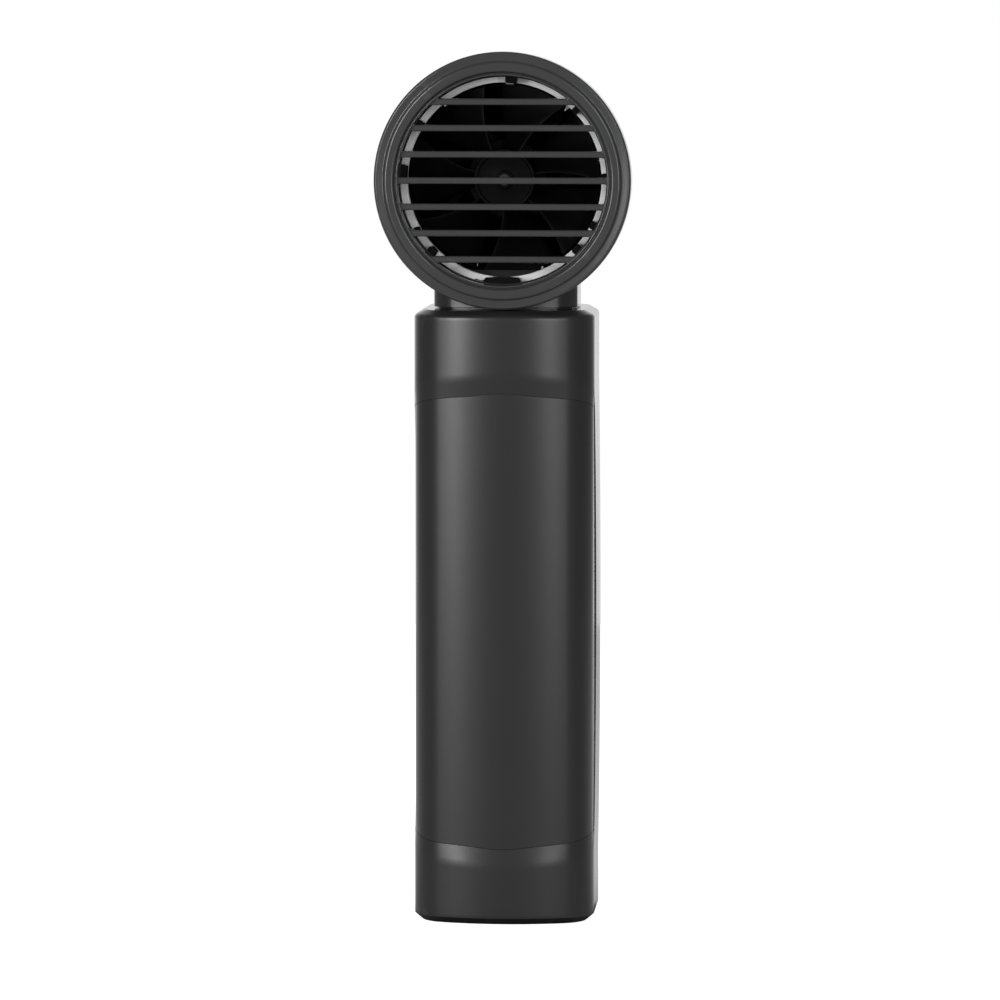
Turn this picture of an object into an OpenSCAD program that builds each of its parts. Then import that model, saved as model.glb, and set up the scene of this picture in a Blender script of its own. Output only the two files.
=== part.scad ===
// Cordless hand blower for drying cars: a round ducted-fan head on an upright handle.
// Millimetres, +Z up. The origin is the centre of the handle's flat base.
// The air comes in at the rear (-Y), through the slatted grille, and leaves at the nozzle (+Y).
// The palm rests on the handle's -Y face; the trigger and button are on its +Y face.

/* [Handle] */
// Width of the handle across its flanks
handle_w = 46.4; // [43:0.1:52]
// Depth of the handle from palm face to finger face
handle_d = 46; // [43:0.1:52]
// Height of the handle from its base to its flat top
handle_h = 158; // [154:0.5:175]
// Radius of the handle's four upright corners
corner_r = 10; // [8:0.1:11]
// Crown radius of the palm face and the finger face
crown_r = 50; // [44:0.5:70]
// Wall of the palm-side shell
shell_wall = 3; // [2.7:0.05:3.2]
// Wall of the finger-side cover
cover_wall = 2.4; // [1.8:0.05:2.8]
// Height of the sloped edge round the top
top_edge_h = 1.8; // [0.8:0.1:2.6]
// How far the sloped edge round the top comes in
top_edge_in = 2.6; // [0.8:0.1:2.8]
// Height of the sloped edge round the base
base_edge_h = 1.7; // [0.8:0.1:2.2]
// How far the sloped edge round the base comes in
base_edge_in = 2; // [0.8:0.1:2.4]
// Thickness of the plate that closes the handle's top
top_plate_t = 2.6; // [2:0.1:4]

/* [Palm grip] */
// Height of the grip's lower crease on the palm face
grip_low = 20; // [17:0.5:24]
// Height of the grip's upper crease on the palm face
grip_high = 137.5; // [130:0.5:142]
// How far the grip lies below the handle's skin
grip_inset = 0.5; // [0.3:0.05:0.8]
// Height of the blend between the band and the grip
grip_blend = 5; // [3:0.5:7]
// Thickness of the grip panel
grip_t = 1.4; // [1:0.05:1.6]
// Fall of the grip's creases per millimetre towards the flank
crease_slope = 0.3; // [0.1:0.05:0.5]
// Where the grip's edge lies on the flank at mid height, measured from the handle's middle
grip_edge_y = -4; // [-8:0.5:2]
// How far the grip's edge on the flank bows
grip_edge_bow = 7; // [4:0.5:9]

/* [Head] */
// Gap between the bezel and the handle's flat top
head_gap = 0.2; // [0.2:0.1:4]
// How far the bezel's front lies inside the palm face
bezel_in = 1.5; // [-3:0.5:4]
// Outer radius of the bezel
bezel_r = 33; // [32.6:0.1:36]
// Width of the bezel's face between its rim and its opening
bezel_w = 5.5; // [5.2:0.1:6]
// Radius of the outer bead
outer_bead_r = 1.25; // [1:0.05:1.4]
// Radius of the inner bead
inner_bead_r = 1; // [0.7:0.05:1.2]
// Depth of the bezel's skirt
skirt_d = 8; // [7:0.25:10]
// How far the barrel lies inside the bezel's rim
barrel_step = 2; // [1.4:0.1:2.2]
// How much the barrel's radius falls towards its front end
barrel_taper = 2; // [1:0.1:3]
// Length from the bezel's front to the end of the barrel
barrel_end = 60; // [56:0.5:66]
// Wall of the barrel and neck
barrel_wall = 2; // [1.6:0.05:2.2]

/* [Slats] */
// Number of slats
slat_count = 7; // [5:1:9]
// Distance from slat to slat
slat_pitch = 6.7; // [5.5:0.1:6.9]
// Height of a slat, seen from the rear
slat_h = 1.67; // [1.2:0.05:2.2]
// Depth of a slat along the air flow
slat_d = 3.4; // [2.4:0.1:4.4]
// Distance of the slats behind the bezel's front
slat_back = 1.6; // [1:0.1:2.2]

/* [Fan] */
// How far the fan duct's bore lies inside the bezel's opening
bore_step = 2.6; // [2.3:0.05:3]
// Wall of the inlet ring's sleeve
sleeve_wall = 0.7; // [0.5:0.05:0.8]
// Wall of the fan duct
duct_wall = 1.7; // [1.5:0.05:2]
// Distance of the inlet ring's face behind the bezel's front
ring_back = 10; // [9.5:0.1:12]
// Thickness of the inlet ring's flange
ring_t = 1.2; // [0.8:0.1:1.6]
// Room between the inlet ring's flange and the barrel's lip
ring_room = 0.5; // [0.3:0.05:0.6]
// Length of the inlet ring's sleeve
sleeve_l = 12; // [10:0.5:13]
// Radius of the impeller's hub
hub_r = 7.86; // [7:0.05:9]
// Length of the impeller's hub
hub_l = 9.5; // [8.5:0.1:10]
// Number of blades
blade_count = 7; // [5:1:9]
// Thickness of a blade
blade_t = 1.1; // [0.8:0.05:1.6]
// Length of a blade along the axis
blade_l = 8; // [6:0.1:8.4]
// Turn of a blade from its leading to its trailing edge
blade_turn = 24; // [12:1:30]
// Gap between blade tip and duct
tip_gap = 0.6; // [0.4:0.05:1]
// Number of guide vanes behind the impeller
vane_count = 9; // [7:1:11]
// Thickness of a guide vane
vane_t = 1.2; // [0.8:0.1:1.6]
// Tilt of a guide vane against the axis
vane_tilt = 42; // [20:1:46]

/* [Motor] */
// Radius of the motor shaft
shaft_r = 1.47; // [1.2:0.01:1.8]
// Outer radius of the motor cup
cup_r = 10; // [9.6:0.1:11]
// Wall of the motor cup
cup_wall = 1.2; // [1:0.05:1.4]
// Outer radius of both bearings
bearing_r = 4; // [3.6:0.05:4.4]
// Width of each bearing
bearing_w = 3; // [2.4:0.1:3.4]
// Length of the motor's stator core
core_l = 12; // [10:0.5:13]
// Radius of the rotor magnet
magnet_r = 4.6; // [4:0.05:4.9]
// Length of the tail cone behind the motor cup
tail_l = 22; // [18:1:30]

/* [Nozzle] */
// Outer radius of the nozzle's mouth
mouth_r = 21; // [19:0.25:24]
// Length from the bezel's front to the nozzle's mouth
nozzle_end = 92; // [86:0.5:104]
// Wall of the nozzle
nozzle_wall = 2.2; // [1.8:0.1:2.6]
// Length of the bright trim ring on the mouth
trim_l = 3; // [2:0.25:5]

/* [Neck] */
// Width of the neck
neck_w = 37; // [34:0.25:38]
// Distance of the neck's front face in front of the handle's axis
neck_front = 15; // [13:0.25:17]
// Radius of the neck's upright corners
neck_corner_r = 5; // [3:0.25:7]
// Length of the spigot that goes down into the handle
spigot_l = 9; // [6:0.5:10]

/* [Trigger and button] */
// Height of the trigger's middle above the power button's
trigger_rise = 30; // [28:0.5:33]
// Height of the trigger's pad
trigger_h = 30; // [24:0.5:32]
// Width of the trigger's pad
trigger_w = 15; // [12:0.25:17]
// How far the trigger stands out of the cover
trigger_out = 6; // [5.5:0.25:8]
// Travel of the trigger
trigger_travel = 5; // [3:0.25:5]
// Height of the power button's middle above the row of lights
button_rise = 11.5; // [10:0.25:13]
// Radius of the power button
button_r = 5.5; // [4:0.1:6.5]
// How far the power button stands out of the cover
button_out = 1.2; // [1:0.1:2]
// Travel of the power button
button_travel = 0.8; // [0.4:0.05:0.9]
// Height of the row of battery level lights above the cells
lights_rise = 7.9; // [7:0.1:9]
// Number of battery level lights
light_count = 4; // [3:1:5]
// Distance from light to light
light_pitch = 4; // [3:0.25:4.5]

/* [Battery] */
// Room between the cells and the shell's wall
cell_room = 1.4; // [1.2:0.05:2]
// Gap between neighbouring cells
cell_gap = 0.4; // [0.2:0.05:0.8]
// Length of a cell
cell_l = 65; // [60:0.5:66]
// Height of the lower ends of the cells
cell_z = 13.6; // [13.4:0.1:14.6]

/* [Base] */
// Height of the base cap's front skirt
cap_h = 11; // [10:0.25:12]
// Thickness of the base cap's floor
cap_floor = 2.6; // [2:0.1:3]

/* [Fits] */
// Gap between a moulded piece and its seat
fit = 0.1; // [0.05:0.05:0.2]
// Gap round a moving button or trigger
run_gap = 0.4; // [0.3:0.05:0.6]
// Radial clearance of the shaft in its bores
shaft_fit = 0.02; // [0.01:0.01:0.05]

/* [Hidden] */
$fn = 64;

black = [0.13, 0.13, 0.14];
dark = [0.08, 0.08, 0.09];

// Handle outline: two crowned faces, two flat flanks and four corner arcs, all tangent
half_w = handle_w / 2;
half_d = handle_d / 2;
corner_x = half_w - corner_r;
crown_reach = sqrt(pow(crown_r - corner_r, 2) - pow(corner_x, 2));
flank_y = half_d - crown_r + crown_reach;
crown_angle = asin(corner_x / (crown_r - corner_r));
crown_y = half_d - crown_r;
edge_ease = 0.1;

// Bezel, from its rim inwards; its groove takes the barrel's lip
head_z = handle_h + head_gap + bezel_r;
opening_r = bezel_r - bezel_w;
bezel_back = half_d - bezel_in;
outer_bead_at = bezel_r - outer_bead_r;
inner_bead_at = outer_bead_at - outer_bead_r - inner_bead_r - 0.4;
rim_d = 6.5;
rim_r = opening_r - 1.1;
groove_d = 3.4;
lip_front = groove_d + 3 * fit;
lip_r = bezel_r - 2.3;
lip_w = 2;
lip_in = lip_r - lip_w;

// Places along the head's axis, counted from the bezel's front
ring_seat = ring_back + ring_t;
hub_back = ring_back + 0.3;
blade_back = hub_back + 0.8;
cup_back = hub_back + hub_l + 1.2;
core_back = cup_back + bearing_w + 2.5;
cup_l = bearing_w + core_l + 5.5;
tail_back = cup_back + cup_l;
duct_end = tail_back + 6;
taper_back = 26.5;

// Radii of the duct and the barrel
duct_bore_r = opening_r - bore_step;
duct_r = duct_bore_r + duct_wall;
ring_r = lip_in - ring_room;
barrel_r = bezel_r - barrel_step;
barrel_in = barrel_r - barrel_wall;
barrel_end_r = barrel_r - barrel_taper;
barrel_end_in = barrel_end_r - barrel_wall;

// Motor, from the cup's bore inwards
core_r = cup_r - cup_wall - 0.05;
core_ring = 1.2;
tooth_w = 1.4;
tooth_in = magnet_r + 0.35;
coil_w = 3;
coil_in = magnet_r + 0.9;
coil_wire = 0.9;
shaft_room = 0.6;

// Neck: it starts just behind the bezel's skirt
neck_rear = skirt_d - bezel_back + 2 * fit;
neck_d = neck_front - neck_rear;
neck_y = (neck_front + neck_rear) / 2;
neck_z = handle_h + 0.25;
spigot_step = 1.2;
spigot_wall = 2.3;

// Grip, and where the shell and the cover meet
split_y = flank_y;
pocket_t = grip_t + fit;
grip_mid = (grip_low + grip_high) / 2;
bow_chord = grip_high - grip_low;
bow_r = pow(bow_chord, 2) / (8 * grip_edge_bow) + grip_edge_bow / 2;

// Battery
cell_r = (min(half_w, half_d) - shell_wall - cell_room - cell_gap / 2) / 2;
cell_pitch = 2 * cell_r + cell_gap;
cell_top = cell_z + cell_l;
plate_t = 1.6;
strip_t = 0.3;
strip_r = cell_r / 2;

// Board
board_y = 1.6;
board_t = 1.6;
board_w = 24;
board_low = cell_top + 3.6;
board_high = handle_h - spigot_l - 5;
board_front = board_y + board_t;
post_r = 2.4;

// Screws and their pillars
pillar_x = half_w - shell_wall - 3.4;
pillar_r = 3;
pillar_z = [board_low + 7, grip_high - 8];
screw_r = 1.2;
thread_play = 0.1;
screw_hole = 0.3;
screw_head_r = 2.2;
screw_head_t = 1.4;
screw_head_room = 0.2;
screw_seat_y = -flank_y - 4;
screw_tip_y = flank_y + 3.4;
base_screw_x = half_w - shell_wall - 3;
boss_r = 3.4;
boss_top = cell_z - plate_t - 2 * fit;

// Lights, button, trigger and their switches
light_r = 0.9;
lights_z = cell_top + lights_rise;
button_z = lights_z + button_rise;
trigger_z = button_z + trigger_rise;
finger_in = half_d - cover_wall;
flange_t = 1.5;
flange_lap = 2;
flange_y = finger_in - flange_t - 1.3;
pad_r = 3.6;
switch_d = 6;
switch_w = 13;
switch_h = 14;
plunger_l = 0.4;
plunger_y = board_front + switch_d + plunger_l;
stem_w = 5;
button_flange_t = 1;
button_flange_y = finger_in - button_flange_t - 0.8;
button_stem_l = 9;
button_stem_r = 1.6;
button_tip_y = button_flange_y - button_stem_l;
button_dish_r = 18;
rest_gap = 0.2;

// Charge port and its board
port_z = 6.8;
port_w = 9;
port_h = 3.2;
port_l = 7.4;
port_wall = 0.35;
port_corner_r = port_h / 2 - fit;
port_back = finger_in + 1 - port_l;
charge_w = 2 * port_w;
charge_l = port_l + 4.6;
charge_t = 1.2;
charge_z = port_z - port_h / 2 - charge_t;

// ---------------------------------------------------------------- helpers

// Turns a piece that is drawn along +Z so that it lies along the head's axis
module on_axis(back = 0) {
    translate([0, back - bezel_back, head_z])
        rotate([-90, 0, 0])
            children();
}

// A washer or tube from its outer and inner radius
module ring(outer, inner, length) {
    difference() {
        cylinder(r = outer, h = length);
        translate([0, 0, -1])
            cylinder(r = inner, h = length + 2);
    }
}

// One sector of an upright revolve of the profile, about a corner's or crown's own centre
module sector(centre, radius, from, turn) {
    translate(centre)
        rotate([0, 0, from])
            rotate_extrude(angle = turn, $fn = 96)
                translate([radius, 0])
                    children();
}

// Cutters that carry a profile (x = distance outside the outline, y = height) round one
// crowned face; the crown's sector runs on past its ends, where it lies outside the corners.
// ease holds the corners' cutters back, so that slopes cross and don't run along each other
module round_face(ease = 0) {
    over = 4;
    sector([0, -crown_y, 0], crown_r, 270 - crown_angle - over, 2 * (crown_angle + over)) children();
    sector([corner_x, -flank_y, 0], corner_r + ease, 270 + crown_angle, 90 - crown_angle) children();
    sector([-corner_x, -flank_y, 0], corner_r + ease, 180, 90 - crown_angle) children();
}

// The same cutters along both flanks, run on past the corners' ends
module along_flanks() {
    over = 2;
    for (side = [0, 1])
        mirror([side, 0, 0])
            translate([half_w, flank_y + over, 0])
                rotate([90, 0, 0])
                    linear_extrude(2 * (flank_y + over))
                        children();
}

// The handle's outline as a flat shape, grown or shrunk
module outline(grow = 0) {
    square([2 * (half_w + grow), 2 * flank_y], center = true);
    for (face = [0, 1])
        mirror([0, face])
            intersection() {
                translate([0, -crown_y])
                    circle(r = crown_r + grow, $fn = 192);
                polygon([
                    [0, flank_y],
                    [-corner_x, -flank_y],
                    [-corner_x - half_d * tan(crown_angle), -flank_y - half_d],
                    [corner_x + half_d * tan(crown_angle), -flank_y - half_d],
                    [corner_x, -flank_y]
                ]);
            }
    for (x = [-corner_x, corner_x], y = [-flank_y, flank_y])
        translate([x, y])
            circle(r = corner_r + grow, $fn = 96);
}

// A rectangle with round corners, made of true arcs
module round_rect(w, h, r) {
    square([w - 2 * r, h], center = true);
    square([w, h - 2 * r], center = true);
    for (x = [-1, 1], y = [-1, 1])
        translate([x * (w / 2 - r), y * (h / 2 - r)])
            circle(r = r, $fn = 48);
}

// A block with round corners that lies along Y, such as a trigger or a port
module round_block(w, h, r, length) {
    rotate([90, 0, 0])
        mirror([0, 0, 1])
            linear_extrude(length)
                round_rect(w, h, r);
}

// The grip's outline in side view, drawn across the whole handle
module grip_zone(gap = 0) {
    rotate([90, 0, 90])
        linear_extrude(2 * handle_w, center = true)
            intersection() {
                translate([grip_edge_y - bow_r, grip_mid])
                    circle(r = bow_r + gap, $fn = 256);
                polygon([
                    [-half_d - 10, grip_low - gap - 10 * crease_slope],
                    [half_d, grip_low - gap + handle_d * crease_slope],
                    [half_d, grip_high + gap - handle_d * crease_slope],
                    [-half_d - 10, grip_high + gap + 10 * crease_slope]
                ]);
            }
}

// Screw pillars that run along Y between two depths
module pillars(from, to, radius) {
    for (x = [-pillar_x, pillar_x], z = pillar_z)
        translate([x, from, z])
            rotate([-90, 0, 0])
                cylinder(r = radius, h = to - from, $fn = 32);
}

// ---------------------------------------------------------------- head

// Double-beaded bezel with horizontal slats and the legs that seat it on the inlet ring
module intake_grille() {
    valley_r = 0.5;
    color(black)
        on_axis() {
            rotate_extrude($fn = 128) {
                translate([outer_bead_at, outer_bead_r])
                    circle(r = outer_bead_r, $fn = 48);
                translate([inner_bead_at, outer_bead_r + 0.1])
                    circle(r = inner_bead_r, $fn = 48);
                difference() {
                    polygon([
                        [opening_r, outer_bead_r - 0.2],
                        [bezel_r, outer_bead_r],
                        [bezel_r, skirt_d],
                        [lip_r + fit, skirt_d],
                        [lip_r + fit, groove_d],
                        [lip_in - fit, groove_d],
                        [lip_in - fit, rim_d],
                        [rim_r, rim_d]
                    ]);
                    translate([outer_bead_at - outer_bead_r - 0.15, outer_bead_r - 0.35])
                        circle(r = valley_r, $fn = 24);
                }
            }
            slats();
            grille_legs();
        }
}

module slats() {
    slat_edge_r = 0.45;
    intersection() {
        for (i = [0:slat_count - 1])
            translate([0, (i - (slat_count - 1) / 2) * slat_pitch, slat_back + slat_d / 2])
                rotate([0, 90, 0])
                    linear_extrude(2 * opening_r, center = true)
                        round_rect(slat_d, slat_h, slat_edge_r);
        cylinder(r = opening_r - 0.3, h = skirt_d);
    }
}

// Legs behind the rim: four wide ones on the axes, the lowest the widest, and six narrow ones
module grille_legs() {
    legs = [
        [1, 2.7], [44, 1.8], [85.5, 3.1], [146, 1.8], [176, 4.5],
        [210.5, 2.2], [225, 2.7], [269.5, 9.4], [317, 2.7], [333.5, 2.2]
    ];
    leg_in = duct_bore_r - 0.1;
    sunk = 1;
    intersection() {
        for (leg = legs)
            rotate([0, 0, -leg[0]])
                translate([leg_in - 2, -leg[1] / 2, rim_d - sunk])
                    cube([ring_r - leg_in + 4, leg[1], ring_back - rim_d + sunk]);
        ring(ring_r, leg_in, ring_back);
    }
}

// Bright ring round the fan: a flat flange and a sleeve that lines the duct
module inlet_ring() {
    color([0.85, 0.86, 0.87])
        on_axis(ring_back) {
            ring(ring_r, duct_bore_r, ring_t);
            ring(duct_bore_r + sleeve_wall, duct_bore_r, sleeve_l);
        }
}

// Fan duct with its guide vanes and the cup that holds the motor
module fan_duct() {
    counterbore_r = duct_bore_r + sleeve_wall + fit / 2;
    cup_bore_r = cup_r - cup_wall;
    color(dark)
        difference() {
            on_axis(ring_seat)
                union() {
                    ring(duct_r, duct_bore_r, duct_end - ring_seat);
                    translate([0, 0, cup_back - ring_seat])
                        cylinder(r = cup_r, h = cup_l);
                    guide_vanes();
                }
            on_axis(ring_seat - 1)
                ring(counterbore_r, duct_bore_r - 1, sleeve_l - ring_t + 1 + fit);
            on_axis(cup_back + cup_wall)
                cylinder(r = bearing_r, h = cup_l);
            on_axis(cup_back + cup_wall + bearing_w)
                cylinder(r = cup_bore_r, h = cup_l);
            on_axis(cup_back - 1)
                cylinder(r = shaft_r + shaft_room, h = cup_l, $fn = 32);
        }
}

// Tilted plates between the motor cup and the duct, trimmed to both walls
module guide_vanes() {
    vane_back = 3;
    vane_l = cup_l - vane_back - 2;
    vane_in = cup_r / 2;
    root = 0.6;
    for (i = [0:vane_count - 1])
        rotate([0, 0, i * 360 / vane_count + 10])
            translate([0, 0, cup_back - ring_seat + vane_back + vane_l / 2])
                intersection() {
                    translate([(vane_in + duct_r) / 2, 0, 0])
                        rotate([vane_tilt, 0, 0])
                            cube([duct_r - vane_in, vane_t, 2 * vane_l], center = true);
                    translate([0, 0, -vane_l / 2])
                        ring(duct_bore_r + root, cup_r - root, vane_l);
                }
}

// Impeller: a round hub with swept, twisted blades
module impeller() {
    rim_w = 0.6;
    rim_out = 0.25;
    nose_r = 2.2;
    nose_out = 0.6;
    color(dark)
        on_axis(hub_back)
            difference() {
                union() {
                    cylinder(r = hub_r, h = hub_l);
                    translate([0, 0, -rim_out])
                        ring(hub_r - 0.1, hub_r - 0.1 - rim_w, rim_out + 0.75);
                    translate([0, 0, -nose_out])
                        cylinder(r = nose_r, h = nose_out + 1);
                    for (i = [0:blade_count - 1])
                        rotate([0, 0, i * 360 / blade_count - 11])
                            blade();
                }
                translate([0, 0, -2])
                    cylinder(r = shaft_r + shaft_fit, h = hub_l + 4);
            }
}

// One blade: a bar that sweeps back as a parabola of the radius, twisted along the axis
module blade() {
    steps = 6;
    sweep = 5;
    tip = duct_bore_r - tip_gap;
    root = hub_r - 0.6;
    span = tip - root;
    front = [for (i = [0:steps]) [root + span * i / steps, blade_t / 2 + sweep * pow(i / steps, 2)]];
    back = [for (i = [steps:-1:0]) [root + span * i / steps, -blade_t / 2 + sweep * pow(i / steps, 2)]];
    intersection() {
        translate([0, 0, blade_back - hub_back])
            linear_extrude(blade_l, twist = blade_turn, slices = 6, $fn = 16)
                polygon(concat(front, back));
        cylinder(r = tip, h = hub_l);
    }
}

module fan_shaft() {
    color("silver")
        on_axis(hub_back - 1)
            cylinder(r = shaft_r, h = tail_back + 3.4 - hub_back + 1);
}

module rotor_magnet() {
    color([0.35, 0.35, 0.38])
        on_axis(core_back)
            ring(magnet_r, shaft_r + shaft_fit, core_l);
}

// Stator core: a laminated ring with six inward teeth
module motor_core() {
    color([0.5, 0.5, 0.52])
        on_axis(core_back)
            union() {
                ring(core_r, core_r - core_ring, core_l);
                for (i = [0:5])
                    rotate([0, 0, i * 60])
                        translate([tooth_in, -tooth_w / 2, 0])
                            cube([core_r - core_ring / 2 - tooth_in, tooth_w, core_l]);
            }
}

// Six coils, each wound round a tooth of the core
module motor_windings() {
    coil_out = sqrt(pow(core_r - core_ring - fit, 2) - pow(coil_w / 2, 2));
    coil_l = coil_out - coil_in;
    slot_w = tooth_w + fit;
    color([0.72, 0.42, 0.2])
        on_axis(core_back - coil_wire)
            for (i = [0:5])
                rotate([0, 0, i * 60])
                    translate([coil_in, -coil_w / 2, 0])
                        difference() {
                            cube([coil_l, coil_w, core_l + 2 * coil_wire]);
                            translate([-1, (coil_w - slot_w) / 2, coil_wire - fit / 2])
                                cube([coil_l + 2, slot_w, core_l + fit]);
                        }
}

// A bearing: outer race, inner race and the shield between them
module bearing() {
    race = 0.8;
    inner_r = shaft_r + shaft_fit;
    shield_in = race / 2;
    ring(bearing_r, bearing_r - race, bearing_w);
    ring(inner_r + race, inner_r, bearing_w);
    translate([0, 0, shield_in])
        ring(bearing_r - race + 0.1, inner_r + race - 0.1, bearing_w - 2 * shield_in);
}

module front_bearing() {
    color("silver")
        on_axis(cup_back + cup_wall)
            bearing();
}

module rear_bearing() {
    color("silver")
        on_axis(tail_back)
            bearing();
}

// Tail cone that closes the motor cup and carries the rear bearing
module tail_cone() {
    plug_l = 2;
    color(dark)
        on_axis(tail_back)
            difference() {
                union() {
                    translate([0, 0, -plug_l])
                        cylinder(r = cup_r - cup_wall - fit, h = plug_l);
                    rotate_extrude()
                        polygon(concat(
                            [[0, 0]],
                            [for (i = [0:12]) [cup_r * sqrt(1 - pow(i / 12.6, 2)), tail_l * i / 12]],
                            [[0, tail_l]]
                        ));
                }
                translate([0, 0, -plug_l - 1])
                    cylinder(r = bearing_r, h = plug_l + 1 + bearing_w);
                cylinder(r = shaft_r + shaft_room, h = bearing_w + 2, $fn = 32);
            }
}

// Two rubber rings that float the duct in the barrel
module duct_isolators() {
    ring_l = 4;
    color([0.1, 0.1, 0.1])
        for (back = [ring_seat + 1.5, taper_back - ring_l - 1])
            on_axis(back)
                ring(barrel_in - fit / 2, duct_r + fit / 2, ring_l);
}

// Barrel and neck in one moulding
module head_shell() {
    bore_l = head_z - handle_h + spigot_l - 10;
    color(black)
        difference() {
            union() {
                on_axis()
                    rotate_extrude($fn = 128)
                        polygon([
                            [0, lip_front],
                            [lip_r, lip_front],
                            [lip_r, skirt_d + fit],
                            [barrel_r, skirt_d + fit],
                            [barrel_r, taper_back],
                            [barrel_end_r, barrel_end],
                            [0, barrel_end]
                        ]);
                translate([0, neck_y, neck_z])
                    linear_extrude(head_z - neck_z)
                        round_rect(neck_w, neck_d, neck_corner_r);
                translate([0, neck_y, handle_h - spigot_l])
                    linear_extrude(spigot_l + 1)
                        neck_inset(spigot_step);
            }
            on_axis(-1)
                cylinder(r = lip_in, h = skirt_d + 1, $fn = 128);
            on_axis()
                rotate_extrude($fn = 128)
                    polygon([
                        [0, skirt_d - 1],
                        [lip_in, skirt_d - 1],
                        [lip_in, skirt_d],
                        [barrel_in, skirt_d + 2],
                        [barrel_in, taper_back],
                        [barrel_end_in, barrel_end],
                        [barrel_end_in, barrel_end + 1],
                        [0, barrel_end + 1]
                    ]);
            translate([0, neck_y, handle_h - spigot_l - 1])
                linear_extrude(bore_l)
                    neck_inset(spigot_step + spigot_wall);
        }
}

// The neck's outline, drawn in on all sides
module neck_inset(inset) {
    round_rect(neck_w - 2 * inset, neck_d - 2 * inset, max(1.5, neck_corner_r - inset));
}

// Converging outlet nozzle that plugs into the barrel
module outlet_nozzle() {
    plug_r = barrel_end_in - fit;
    plug_in = plug_r - nozzle_wall;
    plug_l = 5;
    shoulder = 0.6;
    shoulder_back = barrel_end + 6;
    flare = 1.2;
    flare_back = nozzle_end - trim_l - 6;
    mouth_back = nozzle_end - trim_l - fit;
    color(black)
        on_axis()
            rotate_extrude($fn = 128)
                polygon([
                    [plug_in, barrel_end - plug_l],
                    [plug_r, barrel_end - plug_l],
                    [plug_r, barrel_end + fit],
                    [barrel_end_r, barrel_end + fit],
                    [barrel_end_r - shoulder, shoulder_back],
                    [mouth_r + flare, flare_back],
                    [mouth_r, mouth_back],
                    [mouth_r - nozzle_wall, mouth_back],
                    [mouth_r + flare - nozzle_wall, flare_back],
                    [barrel_end_r - shoulder - nozzle_wall, shoulder_back],
                    [plug_in, barrel_end + 2]
                ]);
}

// Bright ring on the nozzle's mouth
module outlet_trim() {
    inner_r = mouth_r - nozzle_wall + fit;
    bevel = 0.6;
    color([0.8, 0.81, 0.82])
        on_axis(nozzle_end - trim_l)
            rotate_extrude($fn = 128)
                polygon([
                    [inner_r, 0],
                    [mouth_r, 0],
                    [mouth_r, trim_l - bevel],
                    [mouth_r - bevel, trim_l],
                    [inner_r + bevel * 2 / 3, trim_l],
                    [inner_r, trim_l - bevel * 2 / 3]
                ]);
}

// ---------------------------------------------------------------- handle

// What a sloped edge takes off at height 0: its slope crosses the skin and runs on outside
module edge_profile(run, rise) {
    reach = 1;
    polygon([
        [reach, rise * (1 + reach / run)],
        [-run * (1 + reach / rise), -reach],
        [reach, -reach]
    ]);
}

module base_edge() {
    edge_profile(base_edge_in, base_edge_h);
}

module top_edge() {
    translate([0, handle_h])
        mirror([0, 1])
            edge_profile(top_edge_in, top_edge_h);
}

// The handle's outline on the palm side of the split
module palm_outline() {
    intersection() {
        outline();
        translate([-half_w - 1, -half_d - 1])
            square([handle_w + 2, half_d + 1 + split_y]);
    }
}

// The handle's outline on the finger side of the split
module finger_outline() {
    intersection() {
        outline();
        translate([-half_w - 1, split_y + fit])
            square([handle_w + 2, half_d]);
    }
}

// What is cut away between the handle's skin and the grip: a parabola at each end leads from
// just outside the skin down to the grip's depth
module recess_profile() {
    steps = 5;
    blend = [
        for (i = [-1:steps])
            [-grip_inset * i * abs(i) / pow(steps, 2), grip_blend * (1 - i / steps)]
    ];
    polygon(concat(
        [[1, grip_high + blend[0][1]]],
        [for (i = [0:steps + 1]) [blend[i][0], grip_high + blend[i][1]]],
        [for (i = [steps + 1:-1:0]) [blend[i][0], grip_low - blend[i][1]]],
        [[1, grip_low - blend[0][1]]]
    ));
}

// The room inside the handle, up to the plate that closes its top
module handle_room(wall) {
    translate([0, 0, -1])
        linear_extrude(handle_h - top_plate_t + 1)
            outline(-wall);
}

// Palm-side shell: the handle's tub with its top, grip pocket, posts and screw pillars
module handle_shell() {
    color(black)
        difference() {
            union() {
                difference() {
                    linear_extrude(handle_h)
                        palm_outline();
                    handle_room(shell_wall);
                }
                intersection() {
                    union() {
                        pillars(-half_d, split_y - fit, pillar_r);
                        board_posts();
                    }
                    linear_extrude(handle_h)
                        outline(-shell_wall / 2);
                }
                base_bosses();
            }
            round_face(edge_ease) base_edge();
            round_face(edge_ease) top_edge();
            along_flanks() base_edge();
            along_flanks() top_edge();
            round_face() recess_profile();
            intersection() {
                linear_extrude(handle_h)
                    difference() {
                        outline(2);
                        outline(-grip_inset - pocket_t);
                    }
                grip_zone(fit);
            }
            neck_opening();
            pillars(-half_d - 1, screw_seat_y, screw_head_r + screw_head_room);
            pillars(-half_d, split_y + 1, screw_r + screw_hole);
            base_holes();
        }
}

// Posts from the palm-side wall that carry the board
module board_posts() {
    for (x = [-1, 1], z = [board_low + 3, board_high - 4])
        translate([x * (board_w / 2 - post_r - 0.2), -half_d, z])
            rotate([-90, 0, 0])
                cylinder(r = post_r, h = half_d + board_y, $fn = 32);
}

module neck_opening() {
    translate([0, neck_y, handle_h - top_plate_t - 1])
        linear_extrude(top_plate_t + 2)
            neck_inset(spigot_step - fit);
}

// Places of the two screws that hold the base cap
module base_screw_places() {
    for (x = [-1, 1])
        translate([x * base_screw_x, 0, 0])
            children();
}

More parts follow.
